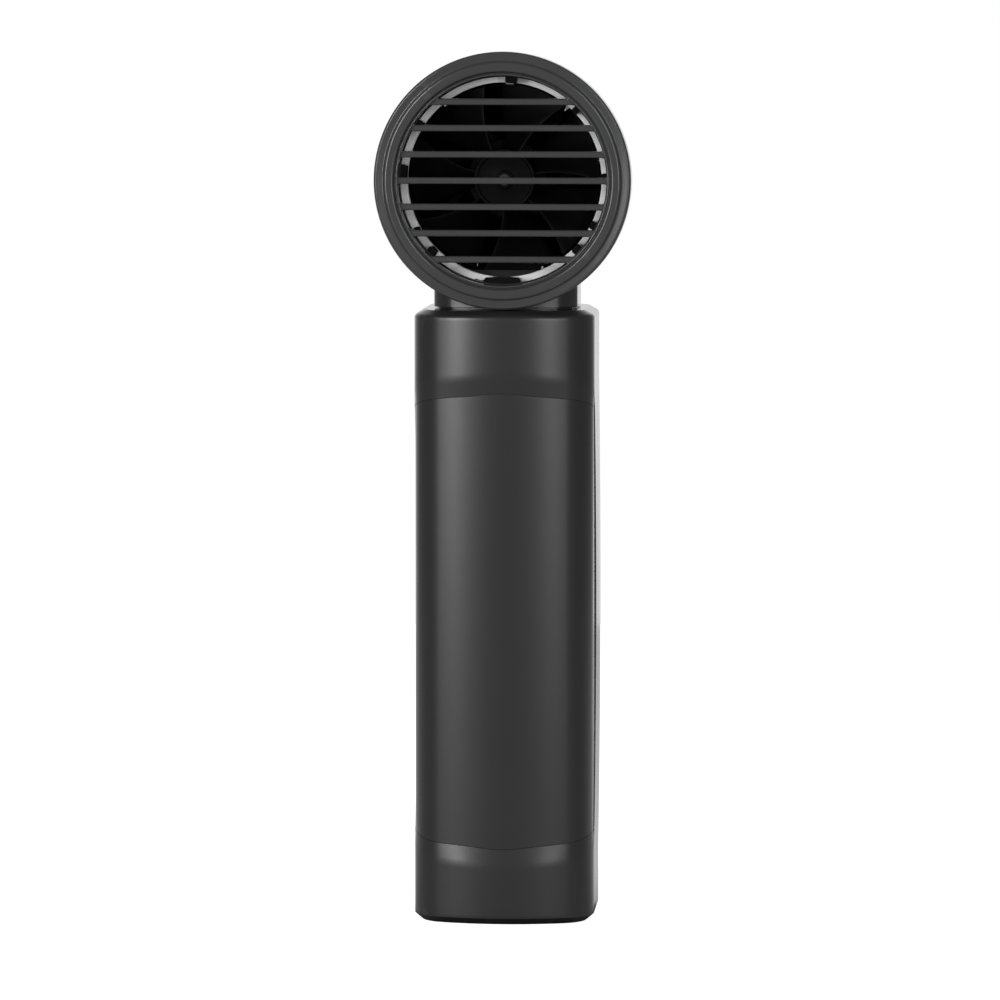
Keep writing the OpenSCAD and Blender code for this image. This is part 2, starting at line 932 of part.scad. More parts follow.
// Bosses that take the base screws and carry the battery holder
module base_bosses() {
    base_screw_places()
        translate([0, 0, cap_floor + fit])
            cylinder(r = boss_r, h = boss_top - cap_floor - fit, $fn = 32);
}

module base_holes() {
    base_screw_places()
        translate([0, 0, -1])
            cylinder(r = screw_r, h = cell_z - plate_t, $fn = 32);
}

// Soft panel that sits in the shell's pocket
module grip_panel() {
    color([0.16, 0.16, 0.17])
        intersection() {
            linear_extrude(handle_h)
                difference() {
                    outline(-grip_inset);
                    outline(-grip_inset - grip_t);
                }
            grip_zone();
        }
}

// Finger-side cover with its openings for the trigger, the button and the lights
module finger_cover() {
    color(black)
        difference() {
            union() {
                difference() {
                    translate([0, 0, cap_h + fit])
                        linear_extrude(handle_h - cap_h - fit)
                            finger_outline();
                    handle_room(cover_wall);
                }
                intersection() {
                    difference() {
                        pillars(split_y + fit, half_d, pillar_r);
                        pillars(split_y - 1, screw_tip_y + 0.5, screw_r);
                    }
                    linear_extrude(handle_h)
                        outline(-cover_wall / 2);
                }
            }
            mirror([0, 1, 0])
                round_face(edge_ease) top_edge();
            along_flanks() top_edge();
            translate([0, split_y, trigger_z])
                round_block(trigger_w + 2 * run_gap, trigger_h + 2 * run_gap, pad_r + run_gap, half_d);
            translate([0, split_y, button_z])
                rotate([-90, 0, 0])
                    cylinder(r = button_r + run_gap, h = half_d);
            light_row(split_y, half_d, light_r + fit / 2);
            neck_opening();
        }
}

// Base cap: floor plate between the walls and a skirt that closes the finger side
module base_cap() {
    color(black)
        difference() {
            union() {
                difference() {
                    linear_extrude(cap_h)
                        finger_outline();
                    translate([0, 0, cap_floor])
                        linear_extrude(cap_h)
                            outline(-cover_wall);
                }
                intersection() {
                    linear_extrude(cap_floor)
                        outline(-shell_wall - fit);
                    translate([-half_w, -half_d, -1])
                        cube([handle_w, half_d + split_y + 1, cap_floor + 2]);
                }
                for (x = [-1, 1])
                    translate([x * charge_w / 3 - 1, port_back - 4, cap_floor - 1])
                        cube([2, 4, charge_z - cap_floor + 1]);
            }
            mirror([0, 1, 0])
                round_face(edge_ease) base_edge();
            along_flanks() base_edge();
            base_holes();
            base_screw_places()
                translate([0, 0, -1])
                    cylinder(r = screw_head_r + screw_head_room, h = screw_head_t + 1, $fn = 32);
            translate([0, split_y, port_z])
                round_block(port_w + 4 * fit, port_h + 4 * fit, port_h / 2 + fit, half_d);
        }
}

// ---------------------------------------------------------------- controls

// Trigger: finger pad with a hollowed face, guide stem and stop flange
module trigger() {
    pad_front = half_d + trigger_out;
    stem_tip = plunger_y + trigger_travel + rest_gap;
    hollow_r = trigger_h;
    hollow_d = 3.2;
    color(dark)
        difference() {
            union() {
                translate([0, flange_y + 1, trigger_z])
                    round_block(trigger_w, trigger_h, pad_r, pad_front - flange_y - 1);
                translate([0, flange_y, trigger_z])
                    round_block(trigger_w + 2 * flange_lap, trigger_h + 2 * flange_lap, 3, flange_t);
                translate([0, stem_tip, trigger_z])
                    round_block(stem_w, stem_w, 1, flange_y - stem_tip + 1);
            }
            translate([0, pad_front + hollow_r - hollow_d, trigger_z - 1])
                rotate([0, 90, 0])
                    cylinder(r = hollow_r, h = trigger_w + 4, center = true, $fn = 128);
        }
}

// Return spring between the speed switch and the trigger's flange: a six-sided wire that
// follows a helix, worked out as rings of points
module trigger_spring() {
    turns = 6;
    per_turn = 8;
    sides = 6;
    wire_r = 0.4;
    coil_r = 4.2;
    seat = board_front + switch_d;
    length = flange_y - seat - 2 * wire_r - 2 * rest_gap;
    last = turns * per_turn;
    points = [
        for (i = [0:last], j = [0:sides - 1])
            let (turn = 360 * i / per_turn, tilt = 360 * j / sides, reach = coil_r + wire_r * cos(tilt))
                [reach * cos(turn), reach * sin(turn), length * i / last + wire_r * sin(tilt)]
    ];
    skin = [
        for (i = [0:last - 1], j = [0:sides - 1])
            let (k = (j + 1) % sides, low = i * sides, high = low + sides)
                each [[low + j, high + j, low + k], [low + k, high + j, high + k]]
    ];
    caps = [
        for (j = [1:sides - 2])
            each [[0, j, j + 1], [last * sides, last * sides + j + 1, last * sides + j]]
    ];
    color("silver")
        translate([0, seat + rest_gap + wire_r, trigger_z])
            rotate([-90, 0, 0])
                polyhedron(points, concat(skin, caps));
}

module speed_switch() {
    color([0.2, 0.2, 0.22])
        translate([0, board_front, trigger_z]) {
            round_block(switch_w, switch_h, 1, switch_d);
            translate([0, switch_d - 1, 0])
                round_block(3, 3, 0.6, plunger_l + 1);
        }
}

module power_button() {
    front = half_d + button_out;
    lap = 1.2;
    dish_d = 0.6;
    color([0.18, 0.18, 0.19])
        translate([0, 0, button_z])
            rotate([-90, 0, 0])
                difference() {
                    union() {
                        translate([0, 0, button_flange_y + 0.5])
                            cylinder(r = button_r, h = front - button_flange_y - 0.5);
                        translate([0, 0, button_flange_y])
                            cylinder(r = button_r + lap, h = button_flange_t);
                        translate([0, 0, button_tip_y])
                            cylinder(r = button_stem_r, h = button_stem_l + 1);
                    }
                    translate([0, 0, front + button_dish_r - dish_d])
                        sphere(r = button_dish_r, $fn = 96);
                }
}

module button_switch() {
    body_w = 6;
    stud_l = 1.2;
    total_l = button_tip_y - button_travel - rest_gap - board_front;
    color([0.5, 0.5, 0.52])
        translate([0, board_front, button_z]) {
            round_block(body_w, body_w, 0.6, total_l - stud_l + 0.2);
            translate([0, total_l - stud_l, 0])
                rotate([-90, 0, 0])
                    cylinder(r = body_w / 4, h = stud_l);
        }
}

module light_row(from, to, radius) {
    for (i = [0:light_count - 1])
        translate([(i - (light_count - 1) / 2) * light_pitch, from, lights_z])
            rotate([-90, 0, 0])
                cylinder(r = radius, h = to - from, $fn = 32);
}

// Light pipes from the board to the cover, joined by a bar
module level_lights() {
    bar_h = 3;
    bar_t = 1.5;
    sunk = 0.35;
    color([0.9, 0.95, 0.95]) {
        light_row(board_front + 0.6, half_d - sunk, light_r);
        translate([0, finger_in - bar_t - 2.5, lights_z])
            round_block((light_count - 1) * light_pitch + 4, bar_h, 1, bar_t);
    }
}

// ---------------------------------------------------------------- electrics

// Control board with its power transistors, capacitors and plug
module main_board() {
    transistor = [5.2, 2.2, 6];
    transistor_pitch = 6.4;
    transistor_x = board_w / 2 - 3;
    transistor_y = board_y - transistor[1];
    transistor_up = 30;
    capacitor_r = 4;
    capacitor_l = 9;
    capacitor_up = 12;
    plug = [9, 5, 8];
    plug_up = 8;
    color([0.08, 0.3, 0.16])
        union() {
            translate([-board_w / 2, board_y, board_low])
                cube([board_w, board_t, board_high - board_low]);
            for (i = [0:2])
                translate([i * transistor_pitch - transistor_x, transistor_y, board_low + transistor_up])
                    cube([transistor[0], transistor[1] + 0.1, transistor[2]]);
            translate([-board_w / 4, board_y + 0.1, board_low + capacitor_up])
                rotate([90, 0, 0])
                    cylinder(r = capacitor_r, h = capacitor_l);
            translate([2, board_y - plug[1], board_low + plug_up])
                cube([plug[0], plug[1] + 0.1, plug[2]]);
        }
}

module cell_places() {
    for (x = [-1, 1], y = [-1, 1])
        translate([x * cell_pitch / 2, y * cell_pitch / 2, cell_z])
            children();
}

module battery_cells() {
    color([0.2, 0.45, 0.7])
        cell_places()
            cylinder(r = cell_r, h = cell_l);
}

// Holder: a tray below and above the cells, joined by a spine between them
module battery_holder() {
    tray = 2 * cell_pitch - 1.2;
    rim = 4;
    spine = 3.6;
    window_r = strip_r + 0.9;
    color([0.25, 0.25, 0.27])
        difference() {
            union() {
                for (z = [cell_z - plate_t, cell_top - rim])
                    translate([0, 0, z])
                        linear_extrude(rim + plate_t)
                            round_rect(tray, tray, cell_r);
                translate([-spine / 2, -spine / 2, cell_z])
                    cube([spine, spine, cell_l]);
            }
            cell_places()
                cylinder(r = cell_r + fit / 2, h = cell_l);
            for (z = [cell_z - plate_t - 1, cell_top - 1])
                translate([0, 0, z])
                    for (x = [-1, 1], y = [-1, 1])
                        translate([x * cell_pitch / 2, y * cell_pitch / 2, 0])
                            cylinder(r = window_r, h = plate_t + 2);
        }
}

// Nickel strips that join the cells, laid in the trays' windows
module cell_strips() {
    color([0.75, 0.75, 0.74])
        for (z = [cell_z - strip_t - fit / 2, cell_top + fit / 2], x = [-1, 1], y = [-1, 1])
            translate([x * cell_pitch / 2, y * cell_pitch / 2, z])
                cylinder(r = strip_r, h = strip_t);
}

module charge_port() {
    inside_w = port_w - 2 * port_wall;
    inside_h = port_h - 2 * port_wall;
    color("silver")
        translate([0, port_back, port_z])
            difference() {
                round_block(port_w, port_h, port_corner_r, port_l);
                translate([0, 1, 0])
                    round_block(inside_w, inside_h, port_corner_r - port_wall, port_l);
            }
}

module charge_board() {
    color([0.08, 0.3, 0.16])
        translate([-charge_w / 2, port_back + 4 - charge_l, charge_z])
            cube([charge_w, charge_l, charge_t]);
}

// ---------------------------------------------------------------- fasteners

// Screws that draw the finger-side cover to the shell, under the grip panel
module cover_screws() {
    color("silver") {
        pillars(screw_seat_y - 1, screw_tip_y, screw_r - thread_play);
        pillars(screw_seat_y - screw_head_t, screw_seat_y, screw_head_r);
    }
}

module base_screws() {
    tip_room = 2;
    color("silver")
        base_screw_places() {
            translate([0, 0, rest_gap])
                cylinder(r = screw_head_r, h = screw_head_t - rest_gap, $fn = 32);
            translate([0, 0, 1])
                cylinder(r = screw_r - thread_play, h = boss_top - tip_room - 1, $fn = 32);
        }
}

intake_grille();
inlet_ring();
fan_duct();
impeller();
fan_shaft();
rotor_magnet();
motor_core();
motor_windings();
front_bearing();
rear_bearing();
tail_cone();
duct_isolators();
head_shell();
outlet_nozzle();
outlet_trim();
handle_shell();
grip_panel();
finger_cover();
base_cap();
trigger();
trigger_spring();
speed_switch();
power_button();
button_switch();
level_lights();
main_board();
battery_cells();
battery_holder();
cell_strips();
charge_port();
charge_board();
cover_screws();
base_screws();
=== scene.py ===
# %% [markdown]
# # A cordless hand blower, surface by surface
#
# The machine dries cars with a fast stream of air: a round fan head stands on an upright handle.
# We load the solids that say where every piece is, and then give the pieces that show their real
# surfaces: rounded edges, a set-in palm grip, a beaded bezel with slats, swept fan blades. Pieces
# that are hardly seen keep their solids and get better materials.

import math

import bpy
import numpy as np
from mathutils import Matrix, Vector


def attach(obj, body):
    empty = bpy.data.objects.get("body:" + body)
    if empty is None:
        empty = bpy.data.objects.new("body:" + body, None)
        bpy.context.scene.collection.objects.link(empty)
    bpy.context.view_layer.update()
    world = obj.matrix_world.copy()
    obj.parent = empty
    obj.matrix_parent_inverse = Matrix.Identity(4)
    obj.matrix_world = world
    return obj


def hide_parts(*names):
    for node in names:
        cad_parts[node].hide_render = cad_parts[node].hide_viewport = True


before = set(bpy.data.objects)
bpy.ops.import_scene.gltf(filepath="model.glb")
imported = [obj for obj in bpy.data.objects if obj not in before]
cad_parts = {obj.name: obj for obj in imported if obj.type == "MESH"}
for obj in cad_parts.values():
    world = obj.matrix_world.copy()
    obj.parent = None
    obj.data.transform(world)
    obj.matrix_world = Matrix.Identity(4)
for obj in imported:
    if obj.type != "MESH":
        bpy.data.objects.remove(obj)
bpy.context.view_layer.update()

# %% [markdown]
# ## From arrays to pieces
#
# Every surface below is an array of points in millimetres and an array of quads. A mesh could be
# modelled by hand with Blender's tools, but a formula can be read, measured and changed, so one
# small function turns arrays into an object and lets it ride on its body. Faces must point
# outward: the signed volume under them tells whether they do.

# %% Points and quads become an object
MM = 0.001


def outward(points, quads):
    """The volume is a sixth of the sum of a . (b x c) + a . (c x d) over the faces abcd.
    Below zero it says that the faces point inward, and then each one is turned round."""
    a, b, c, d = (points[quads[:, k]] for k in range(4))
    volume = np.einsum("ij,ij->", a, np.cross(b, c)) + np.einsum("ij,ij->", a, np.cross(c, d))
    return (points, quads[:, ::-1]) if volume < 0 else (points, quads)


def joined(*parts):
    """Several closed skins in one pair of arrays: each one's quads count on from the points before it."""
    parts = [outward(*part) for part in parts]
    starts = np.cumsum([0] + [len(points) for points, _ in parts[:-1]])
    return (
        np.concatenate([points for points, _ in parts]),
        np.concatenate([quads + start for (_, quads), start in zip(parts, starts)]),
    )


def piece(name, skin_parts, finish, stands_for, body="housing", crisp=38):
    """A smooth object whose edges stay sharp where faces meet at more than the crisp angle, in degrees."""
    points, quads = joined(*skin_parts)
    mesh = bpy.data.meshes.new(name)
    mesh.vertices.add(len(points))
    mesh.vertices.foreach_set("co", (points * MM).astype(np.float32).ravel())
    mesh.loops.add(quads.size)
    mesh.loops.foreach_set("vertex_index", quads.astype(np.int32).ravel())
    mesh.polygons.add(len(quads))
    mesh.polygons.foreach_set("loop_start", np.arange(0, quads.size, 4, dtype=np.int32))
    mesh.update(calc_edges=True)
    mesh.validate()
    mesh.polygons.foreach_set("use_smooth", np.ones(len(mesh.polygons), bool))
    mesh.set_sharp_from_angle(angle=math.radians(crisp))
    mesh.materials.append(finish)
    made = bpy.data.objects.new(name, mesh)
    bpy.context.scene.collection.objects.link(made)
    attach(made, body)
    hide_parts(*stands_for)
    print(name, "points", len(points), "quads", len(quads))
    return made

# %% [markdown]
# ## Four ways to make a skin
#
# Most pieces come from one of four moves. A grid of points is a sheet. Two sheets of the same grid,
# joined along their rims, are a wall. Rings of points, one behind the other, are a loft. A profile
# turned about the head's axis is a turned part. Corners of a profile are rounded first, because a
# real moulding has no sharp edge, and a rounded edge is what catches the light.

# %% Grids, walls, lofts and turned parts
HEAD_Z = 191.2
BEZEL_BACK = 21.5


def grid_quads(rows, cols):
    """Quads between neighbours in a grid of points that is stored row by row."""
    at = np.arange(rows * cols).reshape(rows, cols)
    return np.stack([at[:-1, :-1], at[:-1, 1:], at[1:, 1:], at[1:, :-1]], axis=-1).reshape(-1, 4)


def walled(outer, inner, quads):
    """Outer sheet, inner sheet turned round, and quads along each rim.
    An edge that only one face has is a rim: no other face walks along it the other way."""
    outer, inner = outer.reshape(-1, 3), inner.reshape(-1, 3)
    count = len(outer)
    edges = np.concatenate([quads[:, [k, (k + 1) % 4]] for k in range(4)])
    rim = edges[~np.isin(edges[:, 0] * count + edges[:, 1], edges[:, 1] * count + edges[:, 0])]
    sides = np.stack([rim[:, 1], rim[:, 0], rim[:, 0] + count, rim[:, 1] + count], axis=1)
    return np.concatenate([outer, inner]), np.concatenate([quads, quads[:, ::-1] + count, sides])


def lofted(rings):
    """Quads from ring to ring; the two end rings are closed by strips that run from side to side."""
    count, around, _ = rings.shape
    at = np.arange(count * around).reshape(count, around)
    after = np.roll(at, -1, axis=1)
    sides = np.stack([at[:-1], after[:-1], after[1:], at[1:]], axis=-1).reshape(-1, 4)
    k = np.arange(around // 2 - 1)
    ends = [
        np.stack([end[k], end[k + 1], end[around - 2 - k], end[around - 1 - k]], axis=-1)
        for end in (at[0], at[-1])
    ]
    return rings.reshape(-1, 3), np.concatenate([sides, ends[0][:, ::-1], ends[1]])


def turned(profile, steps=192):
    """A closed profile of (radius, distance behind the bezel's front), carried round the head's axis:
    x = radius cos(angle), z = axis height + radius sin(angle)."""
    angle = np.linspace(0, 2 * np.pi, steps, endpoint=False)[:, None]
    radius, back = profile[:, 0][None], profile[:, 1][None]
    points = np.stack(
        np.broadcast_arrays(radius * np.cos(angle), back - BEZEL_BACK, HEAD_Z + radius * np.sin(angle)),
        axis=-1,
    )
    at = np.arange(points[..., 0].size).reshape(points.shape[:2])
    side, over = np.roll(at, -1, axis=1), np.roll(at, -1, axis=0)
    quads = np.stack([at, side, np.roll(side, -1, axis=0), over], axis=-1).reshape(-1, 4)
    return points.reshape(-1, 3), quads


print("head's axis at", HEAD_Z, "mm, bezel's front at", -BEZEL_BACK, "mm")

# %% [markdown]
# ## Rounded corners and eased steps
#
# A moulding's edges are small arcs, and its steps run out softly. Blender's Bevel modifier could
# round the edges afterwards, but here the profiles are rounded before they become a skin, so each
# corner can have its own radius. Steps use two formulas: an S curve and a quarter circle.

# %% Rounding and easing
def rounded(corners, radius, steps=6):
    """Each corner of a closed profile becomes an arc of its own radius.
    The arc's centre is on the corner's bisector, radius / sin(half angle) away from the corner."""
    corners = np.asarray(corners, float)
    before = np.roll(corners, 1, axis=0) - corners
    after = np.roll(corners, -1, axis=0) - corners
    length_b, length_a = (np.linalg.norm(v, axis=1, keepdims=True) for v in (before, after))
    before, after = before / length_b, after / length_a
    half = np.arccos(np.clip((before * after).sum(1, keepdims=True), -1, 1)) / 2
    wanted = np.broadcast_to(np.asarray(radius, float), len(corners))[:, None] / np.tan(half)
    reach = np.minimum(wanted, 0.48 * np.minimum(length_b, length_a))
    middle = before + after
    middle = middle / np.maximum(np.linalg.norm(middle, axis=1, keepdims=True), 1e-9)
    centre = corners + middle * reach / np.cos(half)
    turn = np.maximum(np.pi - 2 * half, 1e-4)[:, None]
    t = np.linspace(0, 1, steps)[None, :, None]
    start = (corners + before * reach - centre)[:, None]
    end = (corners + after * reach - centre)[:, None]
    arc = (np.sin((1 - t) * turn) * start + np.sin(t * turn) * end) / np.sin(turn)
    return (centre[:, None] + arc).reshape(-1, 2)


def smooth(low, high, value):
    """0 below low, 1 above high, and 3t^2 - 2t^3 between them."""
    t = np.clip((value - low) / (high - low), 0, 1)
    return t * t * (3 - 2 * t)


def quarter(distance, radius):
    """How far a rounded edge has fallen away at a distance d from its end: r - sqrt(r^2 - (r - d)^2)."""
    short = np.clip(radius - distance, 0, radius)
    return radius - np.sqrt(radius**2 - short**2)


print("a square with rounded corners has", len(rounded([(0, 0), (9, 0), (9, 9), (0, 9)], 2)), "points")

# %% [markdown]
# ## Surfaces from noise
#
# Moulded plastic isn't one flat colour. Its tool leaves a fine grain, handling polishes the edges,
# and dust settles on it. Several materials need these effects, so each one is a node group that
# reads the piece's own Object coordinates and gives out plain values. A picture texture could do
# the same, but noise has no seams and fits any shape. Three small helpers write the node trees.

# %% Small helpers for node trees
def new_group(name, numbers, outputs):
    """An empty shader group with number inputs and outputs, and its two end nodes."""
    made = bpy.data.node_groups.new(name, "ShaderNodeTree")
    for label, value in numbers.items():
        made.interface.new_socket(label, in_out="INPUT", socket_type="NodeSocketFloat").default_value = value
    for label in outputs:
        made.interface.new_socket(label, in_out="OUTPUT", socket_type="NodeSocketFloat")
    return made, made.nodes.new("NodeGroupInput"), made.nodes.new("NodeGroupOutput")


def wired(tree, kind, links=None, **values):
    """A node with some inputs linked and some set; keys that aren't inputs are the node's own settings."""
    node = tree.nodes.new(kind)
    for key, value in values.items():
        if key in node.inputs:
            node.inputs[key].default_value = value
        else:
            setattr(node, key, value)
    for key, source in (links or {}).items():
        tree.links.new(source, node.inputs[key])
    return node


def sums(tree, operation, first, second=None, clamp=False):
    """One step of arithmetic; each side is a socket or a plain number."""
    node = wired(tree, "ShaderNodeMath", operation=operation, use_clamp=clamp)
    for place, side in enumerate((first, second)):
        if isinstance(side, (int, float)):
            node.inputs[place].default_value = side
        elif side is not None:
            tree.links.new(side, node.inputs[place])
    return node.outputs[0]


print("helpers: new_group, wired and sums write a node tree in a few lines")

# %% [markdown]
# ## Grain and dust
#
# The grain is fine noise, and a second, slow noise makes patches that differ a little. Dust is a
# Voronoi pattern: a small ball round a cell's centre is a speck, and slow noise decides which
# centres keep one, so specks lie in drifts and not in rows.

# %% Grain and dust groups
def grain_group():
    """Height = fine noise; Tone = slow noise, for patches that differ a little."""
    tree, given, out = new_group("moulded_grain", {"Fineness": 3000.0}, ["Height", "Tone"])
    place = wired(tree, "ShaderNodeTexCoord").outputs["Object"]
    fine = wired(
        tree, "ShaderNodeTexNoise", {"Vector": place, "Scale": given.outputs[0]}, Detail=1.5, Roughness=0.6
    )
    slow = wired(tree, "ShaderNodeTexNoise", {"Vector": place}, Scale=55.0, Detail=4.0, Roughness=0.55)
    tree.links.new(fine.outputs[0], out.inputs["Height"])
    tree.links.new(slow.outputs[0], out.inputs["Tone"])
    return tree


def dust_group():
    """Mask = 1 in a small ball round some of the cell centres of a Voronoi pattern.
    Specks stay where slow noise is above 1 - amount / 2."""
    tree, given, out = new_group("dust_specks", {"Fineness": 420.0, "Amount": 0.5}, ["Mask"])
    place = wired(tree, "ShaderNodeTexCoord").outputs["Object"]
    cells = wired(tree, "ShaderNodeTexVoronoi", {"Vector": place, "Scale": given.outputs[0]})
    spot = sums(tree, "LESS_THAN", cells.outputs["Distance"], 0.085)
    slow = wired(tree, "ShaderNodeTexNoise", {"Vector": place}, Scale=130.0, Detail=2.0)
    limit = sums(tree, "SUBTRACT", 1.0, sums(tree, "MULTIPLY", given.outputs[1], 0.5))
    kept = sums(tree, "GREATER_THAN", slow.outputs[0], limit)
    tree.links.new(sums(tree, "MULTIPLY", spot, kept), out.inputs["Mask"])
    return tree


GRAIN, DUST = grain_group(), dust_group()
print("shader groups:", [group.name for group in bpy.data.node_groups])

# %% [markdown]
# ## Wear and turned streaks
#
# Hands polish the edges first. Pointiness tells where a surface bends outward, and noise breaks
# the line up. Turned metal has streaks that run round its axis, so their noise is read at the
# radius times a large number and hardly changes along the ring.

# %% Wear and streak groups
def wear_group():
    """Mask = where the surface bends outward more than flat, broken up by noise."""
    tree, given, out = new_group("edge_wear", {"Amount": 0.5}, ["Mask"])
    place = wired(tree, "ShaderNodeTexCoord").outputs["Object"]
    bend = wired(tree, "ShaderNodeNewGeometry").outputs["Pointiness"]
    edge = wired(tree, "ShaderNodeMapRange", {"Value": bend}, clamp=True)
    edge.inputs["From Min"].default_value, edge.inputs["From Max"].default_value = 0.505, 0.57
    patchy = wired(tree, "ShaderNodeTexNoise", {"Vector": place}, Scale=600.0, Detail=3.0)
    broken = sums(tree, "MULTIPLY", edge.outputs[0], patchy.outputs[0])
    tree.links.new(sums(tree, "MULTIPLY", broken, given.outputs[0], clamp=True), out.inputs["Mask"])
    return tree


def streak_group():
    """Streaks round the head's axis: noise of the radius, with only a little of the place along the ring."""
    tree, given, out = new_group("turned_streaks", {"Fineness": 9000.0}, ["Height", "Tone"])
    place = wired(tree, "ShaderNodeTexCoord").outputs["Object"]
    axis = wired(tree, "ShaderNodeVectorMath", {0: place}, operation="SUBTRACT")
    axis.inputs[1].default_value = (0, 0, HEAD_Z * MM)
    parts = wired(tree, "ShaderNodeSeparateXYZ", {0: axis.outputs[0]})
    across, up = parts.outputs[0], parts.outputs[2]
    squares = sums(tree, "ADD", sums(tree, "MULTIPLY", across, across), sums(tree, "MULTIPLY", up, up))
    radius = sums(tree, "SQRT", squares)
    turn = sums(tree, "ARCTAN2", up, across)
    line = wired(tree, "ShaderNodeCombineXYZ")
    tree.links.new(sums(tree, "MULTIPLY", radius, given.outputs[0]), line.inputs[0])
    tree.links.new(sums(tree, "MULTIPLY", turn, 1.6), line.inputs[1])
    at = line.outputs[0]
    fine = wired(tree, "ShaderNodeTexNoise", {"Vector": at}, Scale=1.0, Detail=3.0, Roughness=0.7)
    wide = wired(tree, "ShaderNodeTexNoise", {"Vector": at}, Scale=0.18, Detail=2.0)
    tree.links.new(fine.outputs[0], out.inputs["Height"])
    tree.links.new(wide.outputs[0], out.inputs["Tone"])
    return tree


WEAR, STREAKS = wear_group(), streak_group()
print("shader groups:", [group.name for group in bpy.data.node_groups])

# %% [markdown]
# ## Blends, ranges and zones
#
# Nearly everything that shows is either moulded plastic or metal. Both kinds are put together from
# the same few moves: place a group, blend two colours by a mask, stretch a value to a range, and
# ease from 0 to 1 between two limits.

# %% Moves that all materials share
def blank(name):
    """A new material with its Principled shader and output."""
    made = bpy.data.materials.new(name)
    made.use_nodes = True
    return made, made.node_tree, made.node_tree.nodes["Principled BSDF"]


def placed(tree, group, **numbers):
    """A node that holds one of the groups, with its own values."""
    node = tree.nodes.new("ShaderNodeGroup")
    node.node_tree = group
    for label, value in numbers.items():
        node.inputs[label].default_value = value
    return node


def blended(tree, amount, first, second):
    """A colour between two: each is a socket or a colour of three numbers."""
    node = tree.nodes.new("ShaderNodeMix")
    node.data_type = "RGBA"
    tree.links.new(amount, node.inputs["Factor"])
    for key, side in (("A", first), ("B", second)):
        socket = next(s for s in node.inputs if s.name == key and s.type == "RGBA")
        if isinstance(side, tuple):
            socket.default_value = (*side, 1)
        else:
            tree.links.new(side, socket)
    return next(s for s in node.outputs if s.type == "RGBA")


def mapped(tree, value, low, high):
    """Noise between 0.3 and 0.7, where most of it lies, stretched to the range from low to high."""
    node = wired(tree, "ShaderNodeMapRange", {"Value": value})
    node.inputs["From Min"].default_value, node.inputs["From Max"].default_value = 0.3, 0.7
    node.inputs["To Min"].default_value, node.inputs["To Max"].default_value = low, high
    return node.outputs[0]


def zone(tree, value, start, end):
    """0 before start, 1 after end, eased between them."""
    node = wired(tree, "ShaderNodeMapRange", {"Value": value}, interpolation_type="SMOOTHSTEP")
    node.inputs["From Min"].default_value, node.inputs["From Max"].default_value = start, end
    return node.outputs[0]


print("moves: blank, placed, blended, mapped and zone")

# %% [markdown]
# ## Moulded plastic
#
# The plastic's colour drifts with the slow tone, its edges are a shade paler from handling, dust
# sits on it, and the grain goes through a Bump node. Seen at a grazing angle, moulded plastic
# mirrors more sharply, so the roughness falls there.

# %% Plastic and rubber
DUST_COLOUR = (0.3, 0.3, 0.29)
GRAZING_FROM, GRAZING_TO, GRAZING_GLOSS = 0.6, 0.92, 0.55


def moulded(
    name, colour, rough, fineness=3000.0, depth=0.00002, shine=0.5, dust=0.3, wear=0.5, strength=0.35
):
    """Colour = the given one, drifting by a fifth, paler on worn edges, with dust specks over it.
    Roughness = its range along the grain, times 1 - 0.55 as the look gets grazing."""
    made, tree, shader = blank(name)
    grain = placed(tree, GRAIN, Fineness=fineness)
    darker, lighter = tuple(c * 0.82 for c in colour), tuple(c * 1.2 for c in colour)
    drift = blended(tree, grain.outputs["Tone"], darker, lighter)
    worn = placed(tree, WEAR, Amount=wear)
    paler = blended(tree, worn.outputs["Mask"], drift, tuple(min(1, c * 1.8 + 0.02) for c in colour))
    specks = placed(tree, DUST, Amount=dust)
    dusty = blended(tree, specks.outputs["Mask"], paler, DUST_COLOUR)
    tree.links.new(dusty, shader.inputs["Base Color"])
    facing = wired(tree, "ShaderNodeLayerWeight", Blend=0.5).outputs["Facing"]
    grazing = zone(tree, facing, GRAZING_FROM, GRAZING_TO)
    gloss = sums(tree, "SUBTRACT", 1.0, sums(tree, "MULTIPLY", grazing, GRAZING_GLOSS))
    height = grain.outputs["Height"]
    tree.links.new(sums(tree, "MULTIPLY", mapped(tree, height, *rough), gloss), shader.inputs["Roughness"])
    bump = wired(tree, "ShaderNodeBump", {"Height": height}, Strength=strength, Distance=depth)
    tree.links.new(bump.outputs[0], shader.inputs["Normal"])
    shader.inputs["Specular IOR Level"].default_value = shine
    return made


shell_plastic = moulded(
    "shell_plastic", (0.012, 0.012, 0.0125), (0.28, 0.34), fineness=4200.0, depth=0.000008
)
grip_plastic = moulded(
    "grip_plastic", (0.012, 0.012, 0.0125), (0.28, 0.35), fineness=4600.0, depth=0.000008, wear=0.3
)
bezel_plastic = moulded(
    "bezel_plastic", (0.036, 0.036, 0.037), (0.18, 0.24), fineness=5000.0, depth=0.000005, dust=0.4
)
# fan_plastic is black plastic darkened further, with almost no gloss: partly its own black, partly painted
# shade for the dark inside the duct.
fan_plastic = moulded(
    "fan_plastic", (0.002, 0.002, 0.002), (0.4, 0.5), fineness=3600.0, shine=0.06, dust=0.6, wear=0.2
)
key_plastic = moulded("key_plastic", (0.03, 0.03, 0.032), (0.42, 0.55), fineness=4200.0, dust=0.2)
soft_rubber = moulded("soft_rubber", (0.012, 0.012, 0.012), (0.6, 0.75), fineness=2200.0, shine=0.3)
print("plastics:", [material.name for material in bpy.data.materials])

# %% [markdown]
# ## Metal
#
# The metal takes its streaks or its casting grain the same way as the plastic takes its grain, and
# keeps its colour in the reflection. The ring in the intake is painted bright, so it scatters light
# like paint.

